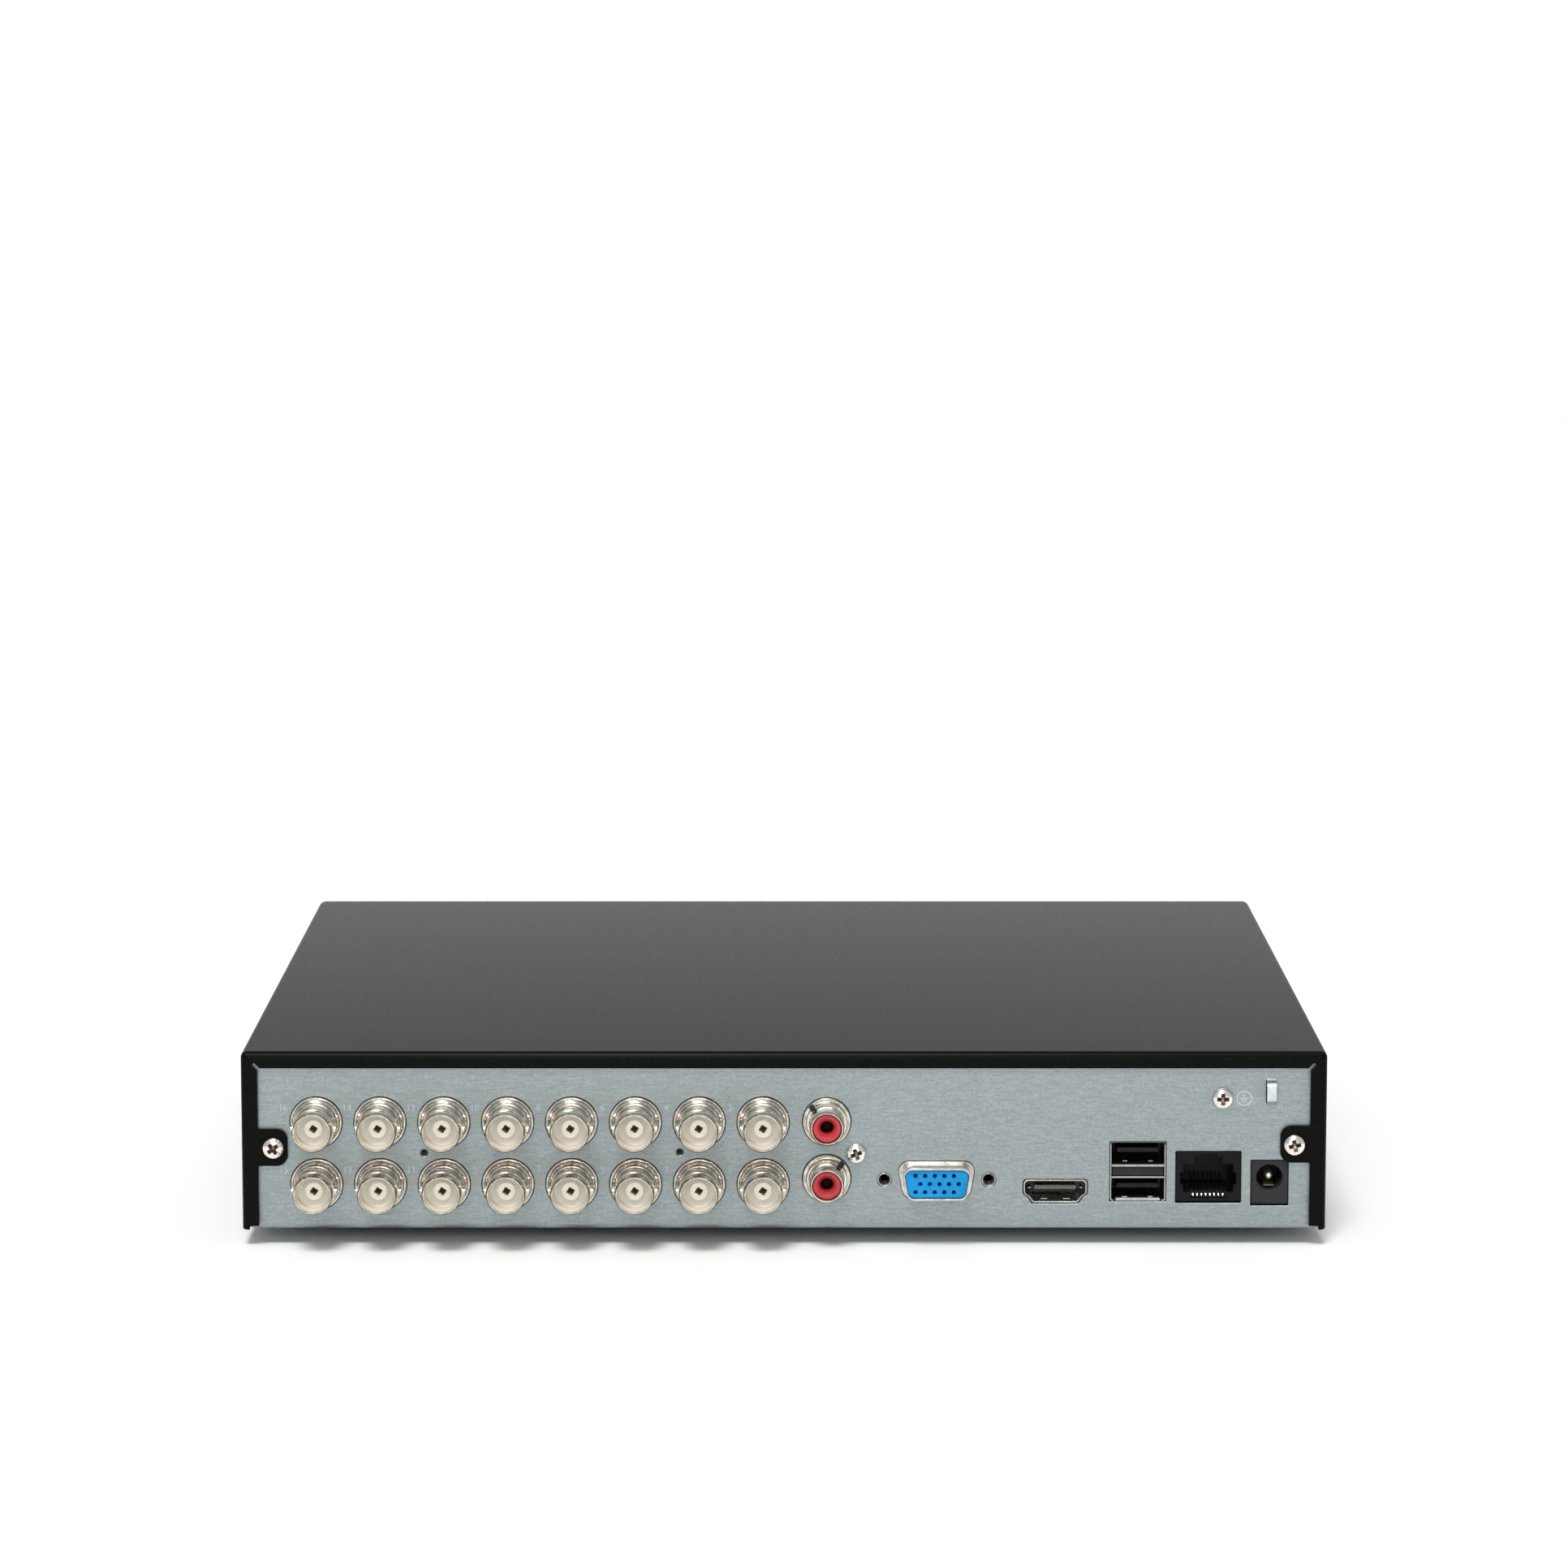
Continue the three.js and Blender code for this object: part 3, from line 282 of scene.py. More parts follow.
DARK_CABLE = plastic("dark insulation", (0.022, 0.022, 0.024), 0.5).material
CHIP = plastic("chip package", (0.018, 0.018, 0.02), 0.55, 1600, 0.02).material
LAMP = plastic("lamp resin", (0.75, 0.80, 0.72), 0.25).material
TAN = plastic("ceramic body", (0.50, 0.36, 0.20), 0.5).material
CLEAR = plastic("clear acrylic", (0.86, 0.90, 0.92), 0.12, 400, 0.002, Transmission_Weight=0.85).material
PRINT = plastic("pale print", (0.40, 0.45, 0.45), 0.6).material


# ---- mesh building -------------------------------------------------------------------

def make_object(name, geometry, material, smooth_angle=35):
    """Takes a bmesh in millimetres and makes the finished object, in metres."""
    bmesh.ops.scale(geometry, vec=(MM, MM, MM), verts=geometry.verts)
    bmesh.ops.recalc_face_normals(geometry, faces=geometry.faces)
    mesh = bpy.data.meshes.new(name)
    geometry.to_mesh(mesh)
    geometry.free()
    mesh.materials.append(material)
    shade(mesh, smooth_angle)
    made = bpy.data.objects.new(name, mesh)
    bpy.context.scene.collection.objects.link(made)
    return made


def shade(mesh, smooth_angle=35):
    """Smooth over gentle edges; the many-sided faces of flat sheet stay flat."""
    mesh.polygons.foreach_set("use_smooth", [len(face.vertices) < 6 for face in mesh.polygons])
    mesh.set_sharp_from_angle(angle=math.radians(smooth_angle))


def settle(made, smooth_angle=35):
    """Applies the modifiers on an object."""
    graph = bpy.context.evaluated_depsgraph_get()
    mesh = bpy.data.meshes.new_from_object(made.evaluated_get(graph))
    made.modifiers.clear()
    made.data = mesh
    shade(mesh, smooth_angle)
    return made


def combine(target, tool, operation="DIFFERENCE", own_surface=False):
    """Cuts or joins another object, then removes it; own_surface keeps its material on what it made."""
    step = target.modifiers.new("combine", "BOOLEAN")
    step.operation = operation
    step.solver = "MANIFOLD"
    step.object = tool
    step.material_mode = "TRANSFER" if own_surface else "INDEX"
    mesh = settle(target).data
    stale_normals = mesh.attributes.get("custom_normal")
    if stale_normals:
        mesh.attributes.remove(stale_normals)
    if not own_surface:
        mesh.polygons.foreach_set("material_index", [0] * len(mesh.polygons))
        while len(mesh.materials) > 1:
            mesh.materials.pop()
    bpy.data.objects.remove(tool)
    return target


def soften(made, width=0.12, segments=2, angle=40):
    """Rounds the sharp edges by a small radius in millimetres."""
    step = made.modifiers.new("soften", "BEVEL")
    step.width = width * MM
    step.segments = segments
    step.limit_method = "ANGLE"
    step.angle_limit = math.radians(angle)
    step.use_clamp_overlap = True
    settle(made, 50)
    even = made.modifiers.new("even", "WEIGHTED_NORMAL")
    even.keep_sharp = True
    even.weight = 100
    return settle(made, 50)


def arc(centre, radius, start, end, steps):
    """Points on an arc, with both ends, angles in degrees."""
    points = []
    for i in range(steps + 1):
        turn = math.radians(start + (end - start) * i / steps)
        points.append((centre[0] + radius * math.cos(turn), centre[1] + radius * math.sin(turn)))
    return points


def fillet(corners, steps=5):
    """A closed outline from (u, v, radius) corners, each rounded by its radius."""
    points = []
    for i, (u, v, radius) in enumerate(corners):
        here = Vector((u, v))
        if radius <= 0:
            points.append((u, v))
            continue
        before = (Vector(corners[i - 1][:2]) - here).normalized()
        after = (Vector(corners[(i + 1) % len(corners)][:2]) - here).normalized()
        half = math.acos(max(-1.0, min(1.0, before.dot(after)))) / 2
        reach = radius / math.tan(half)
        centre = here + (before + after).normalized() * (radius / math.sin(half))
        first, last = here + before * reach - centre, here + after * reach - centre
        turn = math.atan2(first.x * last.y - first.y * last.x, first.dot(last))
        for k in range(steps + 1):
            spot = centre + Matrix.Rotation(turn * k / steps, 2) @ first
            points.append((spot.x, spot.y))
    return points


def rounded(centre, width, height, radius, steps=5):
    u, v, w, h = centre[0], centre[1], width / 2, height / 2
    corners = [(u - w, v - h), (u + w, v - h), (u + w, v + h), (u - w, v + h)]
    return fillet([(*corner, radius) for corner in corners], steps)


def circle(centre, radius, steps=40):
    return arc(centre, radius, 0, 360, steps)[:-1]


PLACE = {
    "X": lambda u, v, w: (w, u, v),
    "Y": lambda u, v, w: (u, w, v),
    "Z": lambda u, v, w: (u, v, w),
}


def add_prism(geometry, outline, low, high, axis="Y"):
    """Adds the outline, made solid from low to high along the axis."""
    place = PLACE[axis]
    rings = [[geometry.verts.new(place(u, v, w)) for u, v in outline] for w in (low, high)]
    geometry.faces.new(rings[0])
    geometry.faces.new(list(reversed(rings[1])))
    count = len(outline)
    for i in range(count):
        k = (i + 1) % count
        geometry.faces.new([rings[0][k], rings[0][i], rings[1][i], rings[1][k]])
    return geometry


def prism(outline, low, high, axis="Y"):
    return add_prism(bmesh.new(), outline, low, high, axis)


def add_block(geometry, lo, hi):
    outline = [(lo[0], lo[1]), (hi[0], lo[1]), (hi[0], hi[1]), (lo[0], hi[1])]
    return add_prism(geometry, outline, lo[2], hi[2], "Z")


def block(lo, hi):
    return add_block(bmesh.new(), lo, hi)


def add_turned(geometry, profile, centre=(0, 0, 0), axis="Y", steps=40):
    """Adds a solid of revolution from a closed list of (radius, distance) points."""
    place = PLACE[axis]
    rings = []
    for radius, along in profile:
        if radius < 1e-6:
            rings.append([geometry.verts.new(Vector(place(0, 0, along)) + Vector(centre))])
            continue
        ring = []
        for k in range(steps):
            turn = 2 * math.pi * k / steps
            spot = place(radius * math.cos(turn), radius * math.sin(turn), along)
            ring.append(geometry.verts.new(Vector(spot) + Vector(centre)))
        rings.append(ring)
    on_axis = len(rings[0]) == 1
    pairs = list(zip(rings, rings[1:])) + ([] if on_axis else [(rings[-1], rings[0])])
    for one, other in pairs:
        for k in range(steps):
            n = (k + 1) % steps
            corners = [one[k % len(one)], one[n % len(one)], other[n % len(other)],
                       other[k % len(other)]]
            unique = list(dict.fromkeys(corners))
            if len(unique) > 2:
                geometry.faces.new(unique)
    return geometry


def turned(profile, centre=(0, 0, 0), axis="Y", steps=40):
    return add_turned(bmesh.new(), profile, centre, axis, steps)


def rod(radius, low, high):
    return [(0, low), (radius, low), (radius, high), (0, high)]


def tube_along(points, radius, steps=10, flat=1.0):
    """A closed tube along a list of points, its section flattened by flat."""
    geometry = bmesh.new()
    line = [Vector(p) for p in points]
    up = Vector((0, 0, 1))
    rings = []
    for i, spot in enumerate(line):
        ahead = (line[min(i + 1, len(line) - 1)] - line[max(i - 1, 0)]).normalized()
        side = ahead.cross(up)
        side = side.normalized() if side.length > 1e-4 else Vector((1, 0, 0))
        rise = side.cross(ahead).normalized()
        ring = []
        for k in range(steps):
            turn = 2 * math.pi * k / steps
            offset = side * (radius * math.cos(turn)) + rise * (radius * flat * math.sin(turn))
            ring.append(geometry.verts.new(spot + offset))
        rings.append(ring)
    for one, other in zip(rings, rings[1:]):
        for k in range(steps):
            n = (k + 1) % steps
            geometry.faces.new([one[k], one[n], other[n], other[k]])
    geometry.faces.new(list(reversed(rings[0])))
    geometry.faces.new(rings[-1])
    return geometry


def smooth_line(points, steps=8):
    """A Catmull-Rom curve through the points."""
    line = [Vector(p) for p in points]
    line = [line[0] * 2 - line[1], *line, line[-1] * 2 - line[-2]]
    made = []
    for a, b, c, d in zip(line, line[1:], line[2:], line[3:]):
        for k in range(steps):
            t = k / steps
            made.append(0.5 * ((2 * b) + (c - a) * t + (2 * a - 5 * b + 4 * c - d) * t * t
                               + (3 * b - a - 3 * c + d) * t ** 3))
    return [*made, line[-2]]


def finish_piece(made, body, slot, *nodes):
    """Rides on a body and stands for CAD nodes; the slot argument is not used."""
    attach(made, body)
    if nodes:
        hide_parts(*nodes)
    return made


def copy_at(source, name, offset):
    """Another object with the same mesh, moved by an offset in millimetres."""
    made = source.copy()
    made.name = name
    made.location = Vector(offset) * MM
    bpy.context.scene.collection.objects.link(made)
    return made


# ---- folded steel: cover and tray ----------------------------------------------------

def folded_tray(lo, hi, radius, open_faces, name, material):
    """A thin open box with rounded bends: an outer block less an inner one."""
    solids = []
    for inset, bend in ((0.0, radius), (SHEET, max(radius - SHEET, 0.25))):
        low = [lo[i] + inset for i in range(3)]
        high = [hi[i] - inset for i in range(3)]
        reach = 0.0 if inset == 0 else 6.0
        for axis, side in open_faces:
            (high if side > 0 else low)[axis] += side * (reach + inset)
        solids.append(bent_block(low, high, bend, open_faces, f"{name}_{len(solids)}", material))
    solids[0].name = name
    return combine(solids[0], solids[1])


def bent_block(lo, hi, radius, open_faces, name, material, steps=5):
    """A block whose edges are rounded, apart from those on its open faces."""
    geometry = block(lo, hi)

    def on_open_face(vertex_pair):
        for axis, side in open_faces:
            edge = hi[axis] if side > 0 else lo[axis]
            if all(abs(v.co[axis] - edge) < 1e-4 for v in vertex_pair):
                return True
        return False

    bends = [e for e in geometry.edges if not on_open_face(e.verts)]
    bmesh.ops.bevel(geometry, geom=bends, offset=radius, segments=steps, profile=0.5, affect="EDGES")
    return make_object(name, geometry, material)


def expand(outline, distance):
    """The outline moved outward, corner by corner; it runs anticlockwise."""
    area = sum(a[0] * b[1] - b[0] * a[1] for a, b in zip(outline, outline[1:] + outline[:1]))
    way = distance if area > 0 else -distance
    made = []
    for i, here in enumerate(outline):
        before, after = outline[i - 1], outline[(i + 1) % len(outline)]
        first = Vector((here[1] - before[1], before[0] - here[0])).normalized()
        second = Vector((after[1] - here[1], here[0] - after[0])).normalized()
        normal = (first + second).normalized()
        reach = way / max(normal.dot(first), 0.4)
        made.append((here[0] + normal.x * reach, here[1] + normal.y * reach))
    return made


def add_hole(geometry, outline, face, depth=3.0, chamfer=0.16):
    """Adds a cutter for a hole in the rear panel, with a small chamfer at its outer face."""
    rings = []
    wide = expand(outline, chamfer * 3)
    sections = ((outline, face - depth), (outline, face - chamfer), (wide, face + 2 * chamfer))
    for points, y in sections:
        rings.append([geometry.verts.new((u, y, v)) for u, v in points])
    geometry.faces.new(list(reversed(rings[0])))
    geometry.faces.new(rings[-1])
    count = len(outline)
    for one, other in zip(rings, rings[1:]):
        for i in range(count):
            k = (i + 1) % count
            geometry.faces.new([one[i], one[k], other[k], other[i]])
    return geometry


def tool(geometry, name="tool"):
    return make_object(name, geometry, STEEL)


# The rear plane's layout, from the nodes that sit in it.
JACK_SPOTS = [middle(name) for name in JACK_NAMES]
RCA_SPOTS = [middle("rca_shell_upper"), middle("rca_shell_lower")]
VGA_SPOT = middle("vga_shell")
HDMI_SPOT = middle("hdmi_shell")
USB_SPOT = middle("usb_shell")
LAN_SPOT = middle("rj45_housing")
DC_SPOT = middle("dc_jack_housing")
PIN_SPOT = middle("dc_jack_pin")
COVER_SCREW_SPOTS = [middle("cover_screw_left"), middle("cover_screw_right")]
CONNECTOR_SCREW_SPOT = middle("connector_screw")
GROUND_SCREW_SPOT = middle("ground_screw")
VGA_SCREW_REACH = 12.5
BRIDGE_SPOT = Vector((-116.65, PANEL_Y, 37.7))
BRIDGE_HALF, BRIDGE_WIDTH = 3.2, 2.2
LAMP_REACH = 8.0


def vga_outline(width, height, radius=1.5):
    """The D of the socket: wide side up, with its sides leaning in by ten degrees."""
    u, v, w, h = VGA_SPOT.x, VGA_SPOT.z, width / 2, height / 2
    lean = height * math.tan(math.radians(10))
    corners = [(u - w + lean, v - h), (u + w - lean, v - h), (u + w, v + h), (u - w, v + h)]
    return fillet([(*corner, radius) for corner in corners], 6)


def hdmi_outline(inset=0.0):
    """Square shoulders above, and corners below that curve in towards the floor."""
    half = [(7.78, 3, 0.9), (7.78, -0.55, 0.9), (6.65, -1.35, 0.8), (5.55, -3, 0.9)]
    fit = (7.78 - inset) / 7.78, (3 - inset) / 3
    right = [(HDMI_SPOT.x + u * fit[0], HDMI_SPOT.z + v * fit[1], r) for u, v, r in half]
    left = [(HDMI_SPOT.x - u * fit[0], HDMI_SPOT.z + v * fit[1], r) for u, v, r in half]
    return fillet([*reversed(right), *left], 4)


def make_chassis():
    """Tray and rear panel in one, its holes chamfered, with a lanced bridge for a cable tie."""
    top = TRAY_HI.z
    tray = folded_tray((TRAY_LO.x, TRAY_LO.y, TRAY_LO.z), (TRAY_HI.x, PANEL_Y, top), 1.3,
                       [(2, 1)], "steel_tray", STEEL)
    side_top, front_top = 18.0, 40.0
    trims = block((TRAY_LO.x - 2, TRAY_LO.y + 1.3, side_top), (TRAY_HI.x + 2, PANEL_Y - 1.3, top + 2))
    combine(tray, tool(trims))
    combine(tray, tool(block((TRAY_LO.x - 2, TRAY_LO.y - 2, front_top),
                             (TRAY_HI.x + 2, TRAY_LO.y + 1.31, top + 2))))
    for side in (-1, 1):
        edge = TRAY_HI.x * side
        wedge = [(edge + side, TRAY_LO.z - 1), (edge - side * 2.6, TRAY_LO.z - 1),
                 (edge + side, TRAY_LO.z + 2.6)]
        combine(tray, tool(prism(wedge, PANEL_Y - 1.4, PANEL_Y + 1)))

    holes = bmesh.new()
    for spot in JACK_SPOTS:
        add_hole(holes, circle((spot.x, spot.z), 6.34, 48), PANEL_Y, chamfer=0.1)
    for spot in RCA_SPOTS:
        add_hole(holes, circle((spot.x, spot.z), 5.9, 48), PANEL_Y, chamfer=0.1)
    for side in (-1, 1):
        add_hole(holes, circle((VGA_SPOT.x + side * VGA_SCREW_REACH, VGA_SPOT.z), 1.75, 28), PANEL_Y)
    for spot in (*COVER_SCREW_SPOTS, CONNECTOR_SCREW_SPOT, GROUND_SCREW_SPOT):
        add_hole(holes, circle((spot.x, spot.z), 1.85, 24), PANEL_Y)
    for x, z in ((86.3, 22.7), (25.0, 22.9)):
        add_hole(holes, circle((x, z), 0.75, 20), PANEL_Y, chamfer=0.3)
    add_hole(holes, vga_outline(19.2, 9.3, 2.5), PANEL_Y, chamfer=0.1)
    add_hole(holes, hdmi_outline(), PANEL_Y)
    for node, below in (("usb_shell", 0.15), ("rj45_housing", 0.45), ("dc_jack_housing", 0.45)):
        lo, hi = box_mm(node)
        middle_z = (lo.z - below + hi.z + 0.15) / 2
        size = (hi.x - lo.x + 0.3, hi.z - lo.z + 0.15 + below)
        add_hole(holes, rounded(((lo.x + hi.x) / 2, middle_z), *size, 0.3), PANEL_Y, chamfer=0.12)
    combine(tray, tool(holes))

    floor_cuts = bmesh.new()
    for name in ("hdd_screw_1", "hdd_screw_2", "hdd_screw_3", "hdd_screw_4"):
        spot = middle(name)
        add_prism(floor_cuts, circle((spot.x, spot.y), 2, 24), TRAY_LO.z - 1, FLOOR_Z + 1, "Z")
    combine(tray, tool(floor_cuts))
    lamp = middle("light_guide")
    combine(tray, tool(prism(rounded((lamp.x, lamp.z), 18, 10, 1.5), TRAY_LO.y - 1, TRAY_LO.y + 2)))

    for i in (1, 2):
        spot = middle(f"board_screw_{i}")
        top = box_mm("main_board")[0].z - GAP
        profile = [(1.8, TRAY_LO.z), (1.8, top), (3.0, top), (3.2, top - 0.3), (4.2, FLOOR_Z + 0.4),
                   (5.2, FLOOR_Z - 0.1), (5.2, TRAY_LO.z + 0.1), (4.0, TRAY_LO.z)]
        combine(tray, tool(prism(circle((spot.x, spot.y), 4.4, 32), TRAY_LO.z - 1, FLOOR_Z + 1, "Z")))
        combine(tray, tool(turned(profile, (spot.x, spot.y, 0), "Z", 32)), "UNION")

    x, z = BRIDGE_SPOT.x, BRIDGE_SPOT.z
    half, width = BRIDGE_HALF - 0.3, BRIDGE_WIDTH / 2 + 0.15
    combine(tray, tool(block((x - width, PANEL_Y - 2, z - half), (x + width, PANEL_Y + 1, z + half))))
    # The strap is cut from the panel but takes a lighter zinc: painted highlight.
    combine(tray, make_object("bridge", tie_bridge(), ZINC_PAINTED_HIGHLIGHT), "UNION", own_surface=True)
    return finish_piece(tray, "case", "galvanised_steel", "chassis")


def tie_bridge():
    """The lanced strap, pushed out of the panel in one smooth curve."""
    rise, thick, ramp = 2.0, 0.7, 0.26
    outer, inner = [], []
    for i in range(25):
        share = i / 24
        from_end = min(share, 1 - share)
        lift = math.sin(0.5 * math.pi * min(from_end / ramp, 1.0))
        y = PANEL_Y - 0.05 + rise * lift
        z = BRIDGE_SPOT.z + (2 * share - 1) * BRIDGE_HALF
        outer.append((y, z))
        inner.append((y - thick, z))
    half = BRIDGE_WIDTH / 2
    return prism([*outer, *reversed(inner)], BRIDGE_SPOT.x - half, BRIDGE_SPOT.x + half, "X")


def make_cover():
    """Folded cover: rounded bends, rear flanges with a mitred corner, two ears and side vents."""
    cover = folded_tray((COVER_LO.x, COVER_LO.y, COVER_LO.z), (COVER_HI.x, FLANGE_Y, COVER_HI.z), 1.5,
                        [(2, -1), (1, -1)], "cover", COAT)
    out, top = COVER_HI.x, COVER_HI.z
    in_x, in_z, low = out - 4.0, top - 4.0, COVER_LO.z - 2
    ear_in, ear_half, ear_round = out - 11.1, 4.5, 2.6
    left, right = COVER_SCREW_SPOTS[0].z, COVER_SCREW_SPOTS[1].z
    window = [(-in_x, low, 0), (in_x, low, 0)]
    window += [(in_x, left - ear_half, 0.5), (ear_in, left - ear_half, ear_round),
               (ear_in, left + ear_half, ear_round), (in_x, left + ear_half, 0.5)]
    window += [(in_x, in_z, 0.2), (-in_x, in_z, 0.2)]
    window += [(-in_x, right + ear_half, 0.5), (-ear_in, right + ear_half, ear_round),
               (-ear_in, right - ear_half, ear_round), (-in_x, right - ear_half, 0.5)]
    combine(cover, tool(prism(fillet(window, 6), FLANGE_Y - 2.4, FLANGE_Y + 2)))

    cuts = bmesh.new()
    for side in (-1, 1):
        for cutter in mitre_cutters(side, out, top):
            combine(cover, tool(cutter))
        inner, outer, foot = side * (in_x - 0.6), side * (out - 1.75), COVER_LO.z
        hem = fillet([(inner, foot - 2, 0), (outer, foot - 2, 0), (outer, foot + 0.9, 0.5),
                      (inner, foot + 0.9, 0)])
        add_prism(cuts, hem, FLANGE_Y - 1.4, FLANGE_Y + 1)
        round_end = fillet([(side * (out + 1), foot - 1, 0), (outer, foot - 1, 0), (outer, foot, 0.8),
                            (side * out, foot, 0.8), (side * out, foot + 2, 0),
                            (side * (out + 1), foot + 2, 0)])
        add_prism(cuts, round_end, FLANGE_Y - 1.4, FLANGE_Y + 1)
    for spot in COVER_SCREW_SPOTS:
        add_hole(cuts, circle((spot.x, spot.z), 1.8, 24), FLANGE_Y, 1.5)
    combine(cover, tool(cuts))

    vents = bmesh.new()
    for i in range(10):
        y = -68.5 + 7 * i
        add_prism(vents, rounded((y, 26), 3, 20, 1.49, 6), -out - 1, out + 1, "X")
    combine(cover, tool(vents))
    return finish_piece(cover, "cover", "black_powder_coat", "top_cover")


def mitre_cutters(side, out, top):
    """The hairline between the top and side flanges, and the relief slot at its inner end."""
    turn = Matrix.Rotation(math.radians(45 * side), 2)
    low, high = FLANGE_Y - 1.3, FLANGE_Y + 1
    made = []
    for inset, length, width, bend in ((1.2, 4.6, 0.16, 0.0), (3.75, 2.4, 0.84, 0.41)):
        centre = Vector((side * (out - inset), top - inset))
        outline = [turn @ Vector(point) + centre for point in rounded((0, 0), length, width, bend)]
        made.append(prism([(p.x, p.y) for p in outline], low, high))
    return made


make_chassis()
cover = make_cover()


# ---- screws --------------------------------------------------------------------------

def cross_blade(size, depth, turn):
    """One tapering blade of a cross recess, cut down from y = depth to its tip at y = 0."""
    geometry = bmesh.new()
    spin = Matrix.Rotation(math.radians(turn), 3, "Y")
    rings = []
    for y, share in ((depth, 1.0), (0.4 * depth, 0.66), (0.0, 0.16)):
        half, slim = size / 2 * share, size * 0.15 * (0.45 + 0.55 * share)
        corners = [(-half, -slim), (half, -slim), (half, slim), (-half, slim)]
        rings.append([geometry.verts.new(spin @ Vector((u, y, v))) for u, v in corners])
    geometry.faces.new(rings[0])
    geometry.faces.new(list(reversed(rings[-1])))
    for one, other in zip(rings, rings[1:]):
        for i in range(4):
            k = (i + 1) % 4
            geometry.faces.new([one[k], one[i], other[i], other[k]])
    return geometry


def pan_screw(name, head, rise, length, turn=0.0):
    """Pan-head screw along +Y with a cross recess and a threaded shank, standing on y = 0."""
    shank, pitch = 1.45, 0.5
    crown = []
    for angle in range(0, 90, 9):
        turned_by = math.radians(angle)
        crown.append((head * math.cos(turned_by) ** 0.7, rise * (0.42 + 0.58 * math.sin(turned_by))))
    thread = []
    for i in range(int((length - 1.2) / pitch)):
        y = -length + 0.6 + i * pitch
        thread += [(shank - 0.24, y), (shank, y + pitch / 2)]
    profile = [(0, -length), (shank - 0.5, -length), *thread, (shank - 0.2, -0.3), (shank - 0.2, 0)]
    profile += [(head - 0.12, 0), (head, 0.12), *crown, (0, rise)]
    screw = make_object(name, turned(profile, steps=40), SCREW)
    # The cross recess takes a darker copy of the screw metal: painted shade.
    recess = make_object("recess", cross_blade(head * 1.45, rise, turn), RECESS_PAINTED_SHADE)
    combine(recess, tool(cross_blade(head * 1.45, rise, turn + 90)), "UNION")
    recess.location.y = 0.3 * rise * MM
    combine(screw, recess, own_surface=True)
    return screw


SCREW_NODES = {
    "cover_screw_left": (2.55, 1.84, 5, 38),
    "cover_screw_right": (2.55, 1.84, 5, 12),
    "connector_screw": (2.4, 1.73, 7, 20),
    "ground_screw": (2.5, 1.8, 6, 0),
}
for node, (head, rise, length, turn) in SCREW_NODES.items():
    lo, hi = box_mm(node)
    screw = pan_screw(f"{node}_piece", head, rise, length, turn)
    screw.location = Vector(((lo.x + hi.x) / 2, hi.y - rise, (lo.z + hi.z) / 2)) * MM
    finish_piece(screw, "cover" if node.startswith("cover") else "case", "screw_metal", node)


# ---- coaxial inputs ------------------------------------------------------------------

def bayonet_jack():
    """Shell, insulator and slotted contact of one jack, standing on y = 0 and open at +Y."""
    mouth = MOUTH_Y - PANEL_Y
    step, lug_y = mouth - 4.0, mouth - 5.2
    shell_profile = [
        (2.5, -2.6), (6.2, -2.6), (6.2, 0.2), (6.08, 0.35), (5.98, 0.35), (5.9, 0.1), (5.78, 0.1),
        (5.72, 0.9),
        (5.5, 1.25), (5.2, 1.4), (5.1, 1.3), (5.05, 2.5), (4.92, 2.75), (4.83, 2.75),
        (4.83, step - 0.28), (4.95, step - 0.14), (4.95, step),
        (4.72, step + 0.12), (4.72, mouth - 0.65), (4.45, mouth - 0.1), (4.38, mouth), (4.2, mouth),
        (4.05, mouth - 0.2), (4.05, 3.6), (3.85, 3.3), (2.5, 3.3),
    ]
    shell = make_object("bnc_shell", turned(shell_profile, steps=64), NICKEL, 30)
    for side in (-1, 1):
        lug = [(0, 4.3), (0.97, 4.3), (0.97, 5.34), (0.81, 5.5), (0, 5.5)]
        peg = turned([(r, side * along) for r, along in lug], (0, lug_y, 0), "X", 28)
        combine(shell, tool(peg), "UNION")
    # The inside of the nickel bore is painted cream: painted reflection of the insulator and of light
    # entering the mouth.
    shell.data.materials.append(BORE_PAINTED_REFLECTION)
    for face in shell.data.polygons:
        spot = face.center / MM
        if math.hypot(spot.x, spot.z) < 4.1 and 3.0 < spot.y < mouth - 0.3:
            face.material_index = 1
    post_profile = [
        (0, 3.35), (4.03, 3.35), (4.03, 7.4), (3.2, 6.2), (2.6, 5.9), (2.22, 6.1), (2.22, mouth - 5.2),
        (2.02, mouth - 5.0), (0, mouth - 5.0),
    ]
    post = make_object("bnc_insulator", turned(post_profile, steps=48), CREAM)
    combine(post, tool(turned(rod(0.82, mouth - 9.0, mouth - 4), steps=24)))
    for angle in (12, 102):
        slot = tool(prism(rounded((0, 0), 2.0, 0.74, 0.2, 3), mouth - 9.0, mouth - 4))
        slot.rotation_euler.y = math.radians(angle)
        combine(post, slot)
    contact_profile = [(0, mouth - 8.95), (0.72, mouth - 8.95), (0.72, mouth - 6.6), (0.6, mouth - 6.4),
                       (0.32, mouth - 6.4), (0.28, mouth - 7.4), (0, mouth - 7.4)]
    # The slotted contact is darkened: bronze colour with painted shade of the deep hole.
    contact = make_object("bnc_contact", turned(contact_profile, steps=24), BRONZE_PAINTED_SHADE)
    return (shell, "nickel_plate"), (post, "cream_plastic"), (contact, "contact_brass")


jack_pieces = bayonet_jack()
for node in JACK_NAMES:
    spot = middle(node)
    for source, slot in jack_pieces:
        piece = copy_at(source, source.name + node[-3:], (spot.x, PANEL_Y, spot.z))
        finish_piece(piece, "case", slot, *([node] if source.name == "bnc_shell" else []))
for source, slot in jack_pieces:
    bpy.data.objects.remove(source)


# ---- audio sockets -------------------------------------------------------------------

